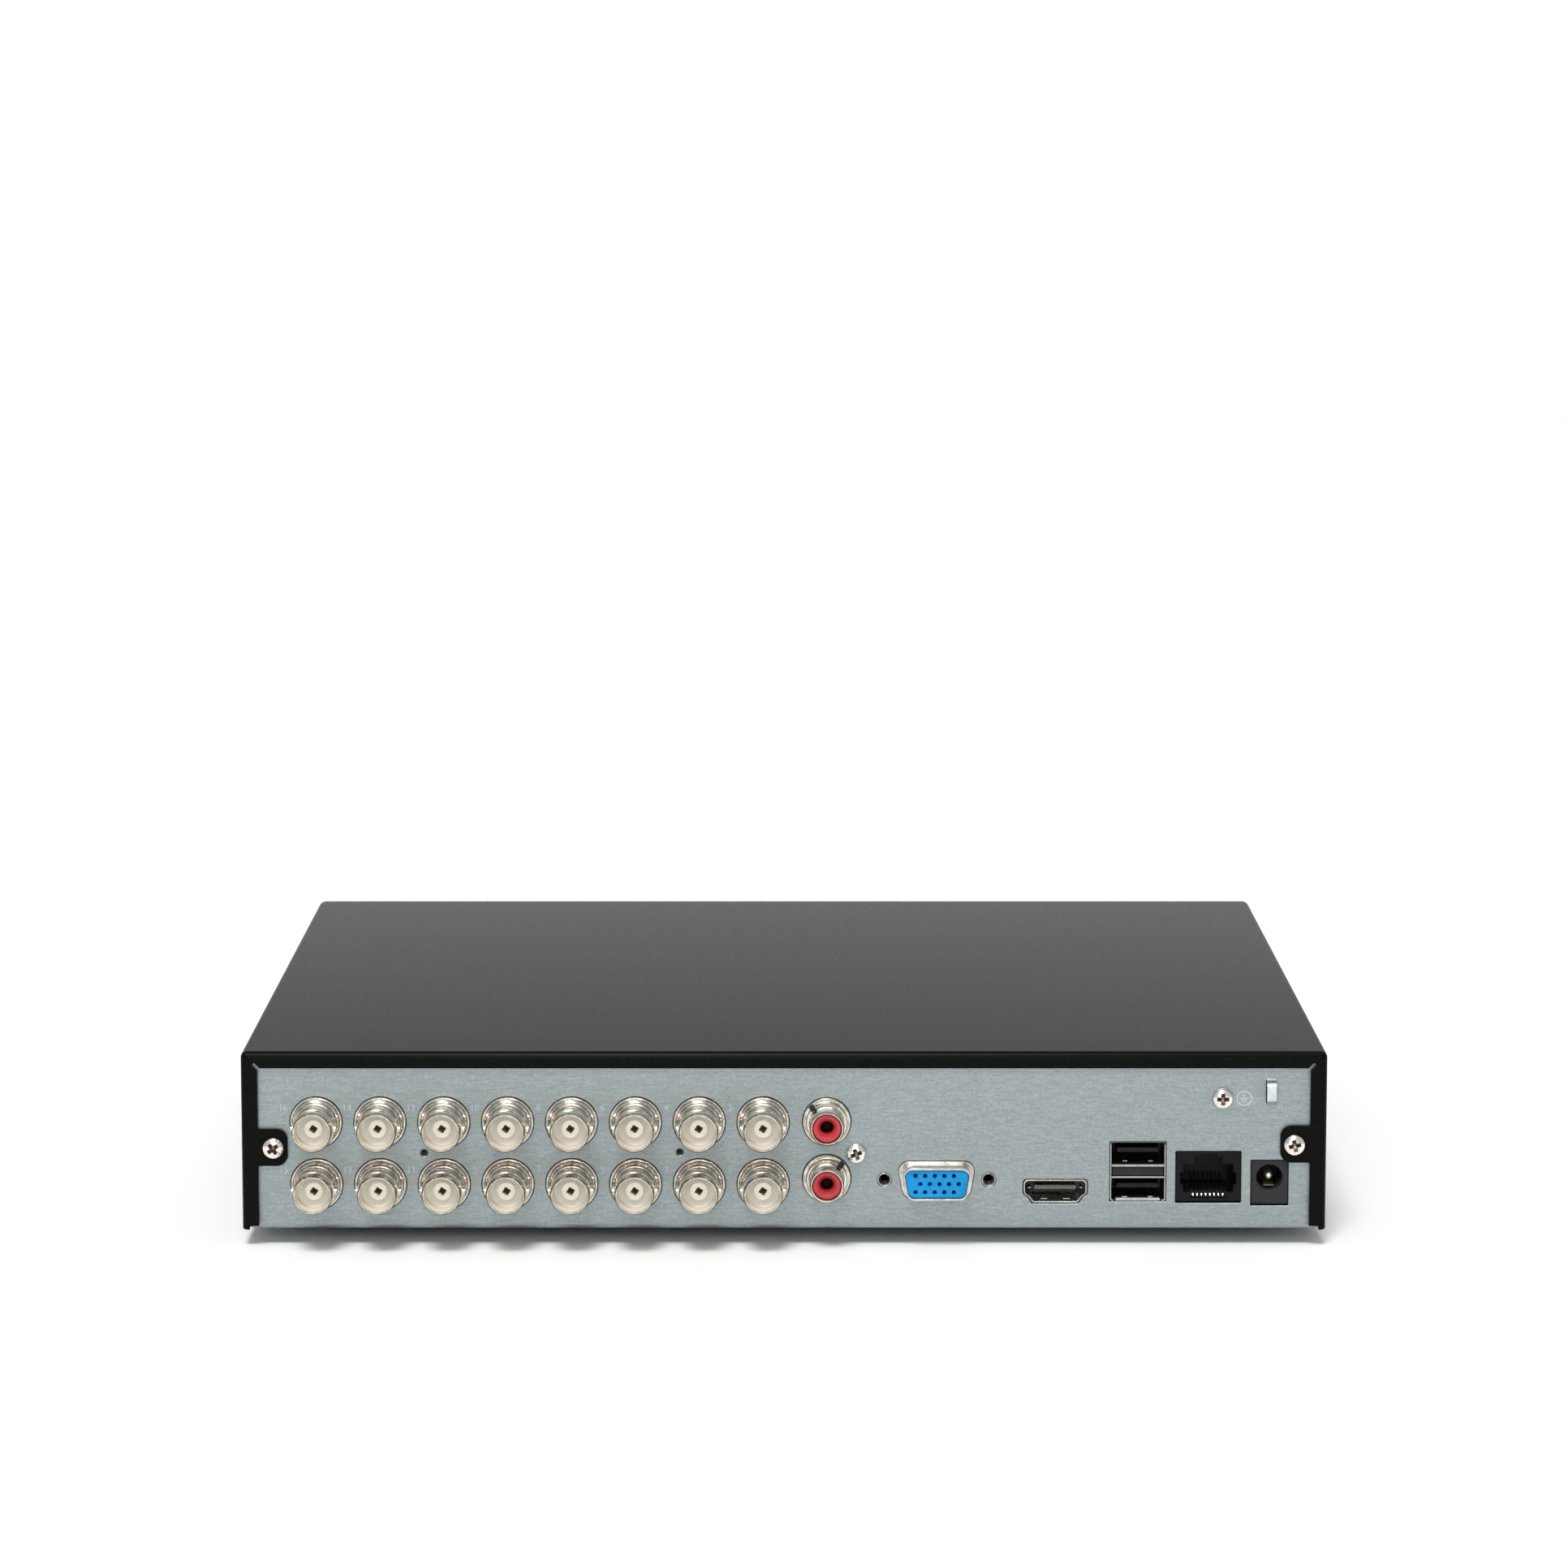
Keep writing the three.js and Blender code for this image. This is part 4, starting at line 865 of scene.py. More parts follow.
def audio_jack(node, key_turn):
    """Nickel sleeve with a stepped base and a black key in it, red insert set back in the mouth."""
    spot = middle(node)
    place = (spot.x, PANEL_Y, spot.z)
    reach = box_mm(node)[1].y - PANEL_Y
    sleeve_profile = [
        (3.5, -2.4), (5.75, -2.4), (5.75, 0.62), (5.6, 0.9), (5.3, 0.9), (5.2, 0.6), (5.0, 0.6),
        (4.95, 1.7), (4.75, 2.0), (4.35, 2.0), (4.15, 2.2), (4.15, reach - 0.7), (3.98, reach - 0.2),
        (3.78, reach), (3.62, reach), (3.5, reach - 0.15),
    ]
    sleeve = make_object(node + "_piece", turned(sleeve_profile, place, steps=64), NICKEL, 30)
    for name, material, (half, low, high, y0, y1) in (
        (None, STEEL, (0.64, 4.02, 5.62, 0.3, 4.0)),
        (node.replace("shell", "key"), CHARCOAL, (0.56, 4.2, 5.5, 0.38, 2.0)),
    ):
        geometry = prism([(-half, low), (half, low), (half, high), (-half, high)], y0, y1)
        spin = Matrix.Rotation(math.radians(key_turn), 4, "Y")
        bmesh.ops.transform(geometry, matrix=Matrix.Translation(place) @ spin, verts=geometry.verts)
        if name is None:
            combine(sleeve, tool(geometry))
        else:
            finish_piece(soften(make_object(name, geometry, material), 0.1), "case", "black_plastic")
    finish_piece(sleeve, "case", "nickel_plate", node)
    face = reach - 0.75
    insert_profile = [
        (0, 0.2), (3.47, 0.2), (3.47, face - 0.3), (3.2, face), (2.45, face), (1.7, face - 0.7),
        (1.62, face - 1.0), (1.62, 1.2), (0, 1.2),
    ]
    insert = make_object(node.replace("shell", "insert"), turned(insert_profile, place, steps=48), RED)
    finish_piece(insert, "case", "red_plastic")
    # A near-black plug at the bottom of the hole: painted shade of the deep hole, not the contact's own
    # colour.
    well_profile = [(0, 1.25), (1.56, 1.25), (1.56, face - 3.6), (1.2, face - 3.4), (0.9, face - 4.4),
                    (0, face - 4.6)]
    well = make_object(node.replace("shell", "contact"), turned(well_profile, place, steps=32), WELL_PAINTED_SHADE)
    finish_piece(well, "case", "contact_brass")


audio_jack("rca_shell_upper", 45)
audio_jack("rca_shell_lower", -45)


# ---- video socket --------------------------------------------------------------------

def vga_socket():
    """Pressed D sleeve on its flange, blue insert with fifteen holes, and two threaded bosses."""
    face = box_mm("vga_shell")[1].y
    back = PANEL_Y - SHEET - GAP
    u, v = VGA_SPOT.x, VGA_SPOT.z
    shell = make_object("vga_sleeve", prism(vga_outline(16.8, 7.9, 2.1), back - 0.5, face), SHELL)
    for width, height, reach in ((18.9, 9.0, 0.15), (17.8, 8.5, 0.7)):
        root = prism(vga_outline(width, height, 2.4), back - 0.4, PANEL_Y + reach)
        combine(shell, tool(root), "UNION")
    flange = prism(rounded((u, v), 30.8, 12.2, 1.2), back - 0.8, back)
    combine(shell, tool(flange), "UNION")
    for side in (-1, 1):
        spot = (u + side * VGA_SCREW_REACH, v)
        combine(shell, tool(prism(circle(spot, 2.6, 6), 99, back - 0.3)), "UNION")
        combine(shell, tool(prism(circle(spot, 1.62), back - 0.6, PANEL_Y - 0.12)), "UNION")
    combine(shell, tool(prism(vga_outline(16.0, 6.95, 1.7), back - 3, face + 1)))
    for side in (-1, 1):
        profile = [(0, 98), (1.35, 98)]
        for i in range(12):
            y = 98.6 + i * 0.5
            profile += [(1.35, y), (1.52, y + 0.25)]
        profile += [(1.35, back - 0.4), (0.95, back - 0.3), (1.0, PANEL_Y - 1.2), (1.46, PANEL_Y - 0.1),
                    (1.46, PANEL_Y + 1), (0, PANEL_Y + 1)]
        combine(shell, tool(turned(profile, (u + side * VGA_SCREW_REACH, 0, v), steps=32)))
    soften(shell, 0.16, 2, 50)
    finish_piece(shell, "case", "nickel_plate", "vga_shell")

    front = face - 0.45
    insert = make_object("vga_insert_face", prism(vga_outline(15.8, 6.75, 1.6), back - 1, front), BLUE)
    body = block((u - 9, 91, 10.4), (u + 9, back - 1.2, 21))
    combine(insert, tool(body), "UNION")
    soften(insert, 0.2, 2, 50)
    pins = bmesh.new()
    contacts = bmesh.new()
    for row in range(3):
        z = v + (1 - row) * 1.98
        for column in range(5):
            x = u + (column - 2) * 2.29 - (0.57 if row == 1 else -0.57)
            profile = [(0, front - 6), (0.54, front - 6), (0.54, front + 0.5), (0, front + 0.5)]
            add_turned(pins, profile, (x, 0, z), steps=20)
            sleeve = [(0.24, front - 5.8), (0.42, front - 5.8), (0.42, front - 3.4), (0.24, front - 3.4)]
            add_turned(contacts, sleeve, (x, 0, z), steps=12)
    combine(insert, tool(pins))
    finish_piece(insert, "case", "blue_plastic", "vga_insert")
    # The contacts in the pin holes are darkened: bronze colour with painted shade of the holes.
    finish_piece(make_object("vga_contacts", contacts, BRONZE_PAINTED_SHADE), "case", "contact_brass")


vga_socket()


# ---- sockets stamped from thin sheet ---------------------------------------------------

def spring(geometry, x, z, lift, width, length, front):
    """A sprung finger: thin, bent towards the mouth, with a raised touching point."""
    line = [(front - length, z), (front - length * 0.35, z + lift), (front - 0.5, z + lift * 0.2),
            (front, z + lift * 0.45)]
    thick = 0.16
    outline = [*line, *[(y, w + thick) for y, w in reversed(line)]]
    add_prism(geometry, outline, x - width / 2, x + width / 2, "X")


def hdmi_socket():
    """Thin rolled shell with a black core: contacts on the tongue, two springs on the floor."""
    lo, hi = box_mm("hdmi_shell")
    u, v = HDMI_SPOT.x, HDMI_SPOT.z
    shell = make_object("hdmi_sleeve", prism(hdmi_outline(0.2), lo.y, hi.y - 0.1), SOCKET_METAL)
    combine(shell, tool(prism(hdmi_outline(0.52), lo.y + 0.6, hi.y + 1)))
    soften(shell, 0.08, 2, 50)
    finish_piece(shell, "case", "nickel_plate", "hdmi_shell")
    core = make_object("hdmi_core", prism(hdmi_outline(0.85), 94, 96.5), GREY)
    combine(core, tool(block((u - 5.0, 95, v + 0.3), (u + 5.0, hi.y - 1.0, v + 1.2))), "UNION")
    soften(core, 0.1, 2, 50)
    finish_piece(core, "case", "black_plastic", "hdmi_insert")
    metal = bmesh.new()
    for i in range(10):
        x = u + (i - 4.5) * 1.0
        add_block(metal, (x - 0.17, 97, v + 1.21), (x + 0.17, hi.y - 1.5, v + 1.25))
        add_block(metal, (x - 0.33, 97, v + 0.22), (x + 0.01, hi.y - 1.5, v + 0.29))
    finish_piece(make_object("hdmi_contacts", metal, GOLD), "case", "contact_brass")
    fingers = bmesh.new()
    for side in (-1, 1):
        spring(fingers, u + side * 2.7, v - 2.3, 0.7, 1.6, 5.0, hi.y - 0.5)
        spring(fingers, u + side * 6.2, v + 0.6, 0.3, 0.7, 5.0, hi.y - 0.5)
    finish_piece(make_object("hdmi_springs", fingers, SHELL), "case", "nickel_plate")


hdmi_socket()


def usb_socket():
    """Two stacked mouths in one shell darkened as painted shade: a bright rim, and folded lips each side
    of a dark web between them.
    """
    lo, hi = box_mm("usb_shell")
    u, v, w, h = USB_SPOT.x, (hi.z + lo.z) / 2, (hi.x - lo.x) / 2, (hi.z - lo.z) / 2
    wall, rim = 0.32, 0.35
    mouths = (v + 4.35, v - 4.35)
    outline = rounded((u, v), 2 * w, 2 * h, 0.5)
    # The shell is darkened nickel, painted shade, while the rim and lips keep a brighter copy of the
    # metal.
    shell = make_object("usb_sleeve", prism(outline, lo.y, hi.y - rim), NICKEL_PAINTED_SHADE)
    for z in mouths:
        combine(shell, tool(prism(rounded((u, z), 2 * (w - wall), 5.25, 0.35), lo.y + 2, hi.y + 1)))
    combine(shell, tool(prism(rounded((u, v), 2 * (w - wall), 2.7, 0.2), hi.y - 3, hi.y + 1)))
    combine(shell, tool(block((u - w + 0.4, lo.y + 0.6, v - h + 0.4),
                              (u + w - 0.4, lo.y + 3, v + h - 0.4))))
    combine(shell, tool(block((u - w + 1.2, hi.y - 3.1, v - h - 1),
                              (u + w - 1.2, hi.y + 1, v - h + 0.8))))
    soften(shell, 0.1, 2, 50)
    finish_piece(shell, "case", "nickel_plate", "usb_shell")

    edge = make_object("usb_rim", prism(outline, hi.y - rim + 0.01, hi.y), SOCKET_METAL)
    combine(edge, tool(prism(rounded((u, v), 2 * (w - 0.26), 2 * (h - 0.26), 0.4), hi.y - 1, hi.y + 1)))
    combine(edge, tool(block((u - w - 1, hi.y - 1, v + h - 0.7), (u + w + 1, hi.y + 1, v + h + 1))))
    combine(edge, tool(block((u - w + 0.9, hi.y - 1, v - h - 1), (u + w - 0.9, hi.y + 1, v - h + 1))))
    finish_piece(soften(edge, 0.06, 2, 50), "case", "nickel_plate")
    lips = bmesh.new()
    for z, thick in ((v + 1.4, 0.4), (v - 1.4, 0.3)):
        add_prism(lips, rounded((u, z), 2 * (w - wall) - 0.1, thick, 0.12), hi.y - 3, hi.y - 0.05)
    add_prism(lips, rounded((u, v - h + 0.4), 2 * w - 2.7, 0.72, 0.2), hi.y - 3.0, hi.y - 0.05)
    finish_piece(make_object("usb_lips", lips, SOCKET_METAL), "case", "nickel_plate")
    web = make_object("usb_web", block((u - w + 0.5, hi.y - 2.9, v - 1.2),
                                       (u + w - 0.5, hi.y - 0.7, v + 1.2)), CHARCOAL)
    finish_piece(soften(web, 0.1), "case", "black_plastic")

    core = make_object("usb_core", block((u - w + 0.7, 89.9, v - h + 0.7),
                                         (u + w - 0.7, 91.4, v + h - 0.7)), BLACK)
    metal, fingers = bmesh.new(), bmesh.new()
    for z in mouths:
        combine(core, tool(block((u - 5, 91, z + 0.15), (u + 5, PANEL_Y - 1.3, z + 1.25))), "UNION")
        for i in range(4):
            x = u + (i - 1.5) * 2.3
            add_block(metal, (x - 0.5, 93, z + 0.04), (x + 0.5, PANEL_Y - 2.0, z + 0.14))
        for side in (-1, 1):
            spring(fingers, u + side * 3.1, z - 2.4, 0.6, 1.1, 7.0, hi.y - 1.2)
            spring(fingers, u + side * 3.1, z + 2.3, -0.3, 1.1, 6.0, hi.y - 2.6)
    soften(core, 0.12, 2, 50)
    finish_piece(core, "case", "black_plastic", "usb_insert")
    finish_piece(make_object("usb_contacts", metal, GOLD), "case", "contact_brass")
    finish_piece(make_object("usb_springs", fingers, SHELL), "case", "nickel_plate")


usb_socket()


# ---- network and power sockets ---------------------------------------------------------

def network_socket():
    """Black moulding with a stepped latch recess, and eight wire contacts over a comb."""
    lo, hi = box_mm("rj45_housing")
    u, w, low = LAN_SPOT.x, (hi.x - lo.x) / 2, lo.z
    outline = rounded((u, (lo.z + hi.z) / 2), 2 * w, hi.z - lo.z, 0.5)
    body = make_object("network_body", prism(outline, lo.y, hi.y), GLOSS)
    for half, z0, z1 in ((6.05, 2.2, 9.1), (6.7, 4.1, 7.0), (3.35, 8.9, 10.85), (2.08, 10.7, 11.6)):
        combine(body, tool(block((u - half, 91, low + z0), (u + half, hi.y + 1, low + z1))))
    for side in (-1, 1):
        relief = block((u + side * 5.1 - 1.7, hi.y - 0.25, low + 9.6),
                       (u + side * 5.1 + 1.7, hi.y + 1, low + 11.4))
        combine(body, tool(relief))
    combine(body, tool(block((u - 4.3, hi.y - 3.2, low + 0.75), (u + 4.3, hi.y + 1, low + 2.4))))
    soften(body, 0.12, 2, 50)
    finish_piece(body, "case", "black_plastic", "rj45_housing")
    metal, tips, comb = bmesh.new(), bmesh.new(), bmesh.new()
    for i in range(8):
        x = u + (i - 3.5) * 1.02
        for part, line in ((metal, [(93, low + 4.6), (98, low + 3.6), (hi.y - 2.3, low + 2.3)]),
                           (tips, [(hi.y - 2.25, low + 2.25), (hi.y - 1.2, low + 1.75),
                                   (hi.y - 0.9, low + 1.3)])):
            thick = [(y, z - 0.25) for y, z in reversed(line)]
            add_prism(part, [*line, *thick], x - 0.13, x + 0.13, "X")
    for i in range(9):
        x = u + (i - 4) * 1.02
        add_block(comb, (x - 0.22, hi.y - 3.1, low + 0.85), (x + 0.22, hi.y - 0.7, low + 2.35))
    add_block(comb, (u - 5.4, 91.2, low + 2.4), (u + 5.4, 92.8, low + 8.9))
    # The contact wires are darkened nickel, painted shade, while their tips stay bright.
    finish_piece(make_object("network_contacts", metal, NICKEL_PAINTED_SHADE), "case", "contact_brass",
                 "rj45_contacts")
    finish_piece(make_object("network_contact_tips", tips, SCREW), "case", "contact_brass")
    finish_piece(make_object("network_comb", comb, BLACK), "case", "black_plastic")


network_socket()


def power_socket():
    lo, hi = box_mm("dc_jack_housing")
    bore_z, u = PIN_SPOT.z, DC_SPOT.x
    body = make_object("power_body", prism(rounded((u, (lo.z + hi.z) / 2), hi.x - lo.x, hi.z - lo.z,
                                                   0.5), lo.y, hi.y), CHARCOAL)
    bore = [(0, 93.5), (3.05, 93.5), (3.05, hi.y - 0.4), (3.45, hi.y + 0.02), (3.45, hi.y + 1),
            (0, hi.y + 1)]
    combine(body, tool(turned(bore, (PIN_SPOT.x, 0, bore_z), steps=48)))
    soften(body, 0.18, 2, 50)
    finish_piece(body, "case", "black_plastic", "dc_jack_housing")
    pin_lo, pin_hi = box_mm("dc_jack_pin")
    dome = [(0.95 * math.cos(math.radians(a)), pin_hi.y - 0.95 + 0.95 * math.sin(math.radians(a)))
            for a in range(0, 90, 10)]
    pin = make_object("power_pin", turned([(0, pin_lo.y), (0.95, pin_lo.y), *dome, (0, pin_hi.y)],
                                          (PIN_SPOT.x, 0, bore_z), steps=32), SATIN_PIN)
    finish_piece(pin, "case", "nickel_plate", "dc_jack_pin")
    blade = bmesh.new()
    spring(blade, PIN_SPOT.x, bore_z - 2.95, 1.3, 2.4, 9.0, hi.y - 2.2)
    finish_piece(make_object("power_spring", blade, DULL_BRASS), "case", "contact_brass")


power_socket()


# ---- marks on the rear panel -----------------------------------------------------------

def add_text(geometry, text, x, z, size):
    """Printed characters on the panel, readable from +Y."""
    curve = bpy.data.curves.new("print", "FONT")
    curve.body = text
    curve.size = size * MM
    curve.align_x, curve.align_y = "CENTER", "CENTER"
    curve.extrude = 0.012 * MM
    curve.resolution_u = 4
    made = bpy.data.objects.new("print", curve)
    bpy.context.scene.collection.objects.link(made)
    graph = bpy.context.evaluated_depsgraph_get()
    mesh = bpy.data.meshes.new_from_object(made.evaluated_get(graph))
    face_out = Matrix.Rotation(math.pi, 4, "Z") @ Matrix.Rotation(math.pi / 2, 4, "X")
    mesh.transform(face_out)
    mesh.transform(Matrix.Translation(Vector((x, PANEL_Y + 0.02, z)) * MM))
    mesh.transform(Matrix.Scale(1 / MM, 4))
    geometry.from_mesh(mesh)
    bpy.data.objects.remove(made)
    bpy.data.meshes.remove(mesh)


def panel_marks():
    """Channel numbers beside the jacks, and the earth mark beside the ground screw."""
    numbers = bmesh.new()
    for i, spot in enumerate(JACK_SPOTS):
        row, column = divmod(i, 8)
        add_text(numbers, str(16 - 2 * column - row), spot.x + 7.9, spot.z + 3.5, 2.3)
    finish_piece(make_object("channel_numbers", numbers, PRINT), "case", "galvanised_steel")
    x, z, face = GROUND_SCREW_SPOT.x - 5.2, GROUND_SCREW_SPOT.z - 0.1, PANEL_Y + 0.005
    mark = bmesh.new()
    ring = [(1.6, face), (1.85, face), (1.85, face + 0.03), (1.6, face + 0.03)]
    add_turned(mark, ring, (x, 0, z), steps=40)
    for half, level in ((1.1, 0.0), (0.7, -0.45), (0.3, -0.9)):
        add_block(mark, (x - half, face, z + level - 0.1), (x + half, face + 0.03, z + level + 0.1))
    add_block(mark, (x - 0.1, face, z + 0.12), (x + 0.1, face + 0.03, z + 1.1))
    finish_piece(make_object("earth_mark", mark, PRINT), "case", "galvanised_steel")


panel_marks()


# ---- mouldings behind the panel --------------------------------------------------------

def rear_mouldings():
    """The block that holds all sixteen jacks, and the one that holds the audio pair."""
    lo, hi = box_mm("bnc_housing")
    body = make_object("jack_moulding", block(lo, hi), CREAM)
    wells = bmesh.new()
    for x, z in ((86.3, 22.7), (25.0, 22.9)):
        add_turned(wells, rod(1.3, lo.y + 2, hi.y + 1), (x, 0, z), steps=24)
    for i in range(7):
        x = (JACK_SPOTS[i].x + JACK_SPOTS[i + 1].x) / 2
        add_block(wells, (x - 0.6, lo.y - 1, lo.z + 1.5), (x + 0.6, hi.y - 6, hi.z + 1))
    combine(body, tool(wells))
    soften(body, 0.4, 2, 50)
    finish_piece(body, "case", "cream_plastic", "bnc_housing")
    lo, hi = box_mm("rca_housing")
    x = RCA_SPOTS[0].x
    body = make_object("audio_moulding", block((x - 5.9, lo.y, lo.z),
                                               (x + 5.9, PANEL_Y - 2.8, lo.z + 26.3)), BLACK)
    ear = block((-20.4, PANEL_Y - 6, 19.8), (x - 5.8, PANEL_Y - 2.8, 25.8))
    combine(body, tool(ear), "UNION")
    spot = CONNECTOR_SCREW_SPOT
    combine(body, tool(prism(circle((spot.x, spot.z), 1.7, 24), PANEL_Y - 8, PANEL_Y)))
    soften(body, 0.3, 2, 50)
    finish_piece(body, "case", "black_plastic", "rca_housing")


rear_mouldings()


# ---- front: bezel, lights and feet -----------------------------------------------------

def front():
    """Gloss moulding with one styling groove, three clear light prongs and their board."""
    lo, hi = box_mm("front_bezel")
    middle_z, wide, tall = (lo.z + hi.z) / 2, hi.x - lo.x, hi.z - lo.z
    back = lo.y + 2.6
    bezel = make_object("bezel", prism(rounded((0, middle_z), wide, tall, 1.5, 8), lo.y, back), GLOSS)
    groove = prism([(lo.y - 1, 20.4), (lo.y + 0.35, 20.4), (lo.y + 0.6, 20.65), (lo.y + 0.6, 21.15),
                    (lo.y + 0.35, 21.4), (lo.y - 1, 21.4)], lo.x - 1, hi.x + 1, "X")
    combine(bezel, tool(groove))
    soften(bezel, 0.7, 4, 60)
    rim = prism(rounded((0, middle_z), 257.8, tall - 2, 1.5), back - 0.1, hi.y)
    combine(bezel, tool(rim), "UNION")
    hollow = block((4 - hi.x, back, lo.z + 3), (hi.x - 4, hi.y + 1, hi.z - 3.5))
    combine(bezel, tool(hollow))
    guide_lo, guide_hi = box_mm("light_guide")
    lamp = middle("light_guide")
    spots = [lamp.x + LAMP_REACH * side for side in (-1, 0, 1)]
    for x in spots:
        hole = [(0, lo.y - 1), (1.75, lo.y - 1), (1.75, lo.y + 0.02), (1.4, lo.y + 0.4),
                (1.4, back + 1), (0, back + 1)]
        combine(bezel, tool(turned(hole, (x, 0, lamp.z), steps=32)))
    finish_piece(bezel, "case", "gloss_black_plastic", "front_bezel")

    guide = make_object("light_pipe", block((guide_lo.x, guide_hi.y - 1.8, lamp.z - 2),
                                            (guide_hi.x, guide_hi.y, lamp.z + 2)), CLEAR)
    for x in spots:
        dome = [(0, guide_lo.y)]
        dome += [(1.05 * math.sin(math.radians(a)),
                  guide_lo.y + 0.5 - 0.5 * math.cos(math.radians(a))) for a in range(15, 91, 15)]
        prong = [*dome, (1.05, guide_hi.y - 1.7), (0, guide_hi.y - 1.7)]
        combine(guide, tool(turned(prong, (x, 0, lamp.z), steps=28)), "UNION")
    soften(guide, 0.1, 2, 60)
    finish_piece(guide, "case", "clear_plastic", "light_guide")

    lo, hi = box_mm("led_board")
    board = make_object("lamp_board", prism(rounded((lamp.x, (lo.z + hi.z) / 2), hi.x - lo.x,
                                                    hi.z - lo.z, 1), -111.6, -110.6), BOARD)
    for side in (-1, 1):
        hole = prism(circle((lamp.x + side * 11.6, hi.z - 2.2), 1.1, 20), -113, -109)
        combine(board, tool(hole))
    finish_piece(board, "case", "circuit_board", "led_board")
    lamps = bmesh.new()
    for x in spots:
        add_block(lamps, (x - 1.2, lo.y, lamp.z - 0.9), (x + 1.2, lo.y + 1.4, lamp.z + 0.9))
    finish_piece(soften(make_object("lamps", lamps, LAMP), 0.2), "case", "clear_plastic")
    header((lamp.x - 5, -110.55, 11), (lamp.x + 5, -106.5, 15.5), "lamp_header")

    high = box_mm("foot_1")[1]
    top = high.z
    profile = [(0, 0), (5.6, 0), (5.9, 0.5), (6.3, 0.5), (6.6, 0), (7.0, 0), (7.5, 0.25), (7.75, 1.1),
               (8.0, top - 0.5), (7.8, top), (0, top)]
    foot = make_object("foot", turned(profile, axis="Z", steps=56), RUBBER)
    for i in (1, 2, 3, 4):
        spot = middle(f"foot_{i}")
        finish_piece(copy_at(foot, f"foot_{i}_piece", (spot.x, spot.y, 0)), "case", "rubber_foot",
                     f"foot_{i}")
    bpy.data.objects.remove(foot)


def header(lo, hi, name):
    """A white wire-to-board socket, as a plain block with softened edges."""
    body = make_object(name, block(lo, hi), WHITE)
    return finish_piece(soften(body, 0.25, 2, 50), "case", "cream_plastic")


front()


# ---- main board ------------------------------------------------------------------------

# Upright cans, given by X, Y, radius and height.
CANS = [
    (-108, 78, 4, 11), (-98, 74, 4, 11), (-108, 66, 3.2, 8), (60, 40, 3.2, 8), (70, 40, 3.2, 8),
    (-60, 78, 2.6, 6),
]

# Flat packages, given by X, Y, width, depth and height.
PACKAGES = [
    (14, 60, 14, 10, 1.2), (14, 46, 14, 10, 1.2), (-62, 56, 9, 9, 1), (-86, 62, 12, 8, 1.4),
    (60, 62, 14, 14, 1.2), (88, 62, 14, 14, 1.2), (-40, 28, 8, 6, 1.8), (36, 28, 8, 5, 1.5),
]

# Rows of small parts: first X, first Y, how many, step along X and step along Y.
SMALL_ROWS = [
    (46, 74, 6, 0, -4), (74, 76, 5, 0, -4), (74, 54, 4, 0, -4), (102, 74, 6, 0, -4), (48, 52, 9, 6, 0),
    (2, 70, 8, 3.5, 0), (0, 37, 9, 3.5, 0), (-46, 72, 7, 3.4, 0), (-48, 40, 6, 0, 4),
    (-70, 46, 6, 3.2, 0),
    (-78, 32, 10, 4.2, 0), (20, 20, 8, 4, 0), (-30, 18, 6, 4.5, 0), (-112, 56, 6, 4, 0),
    (-66, 88, 5, 5, 0),
    (108, 60, 5, 0, 5), (54, 88, 10, 6, 0),
]


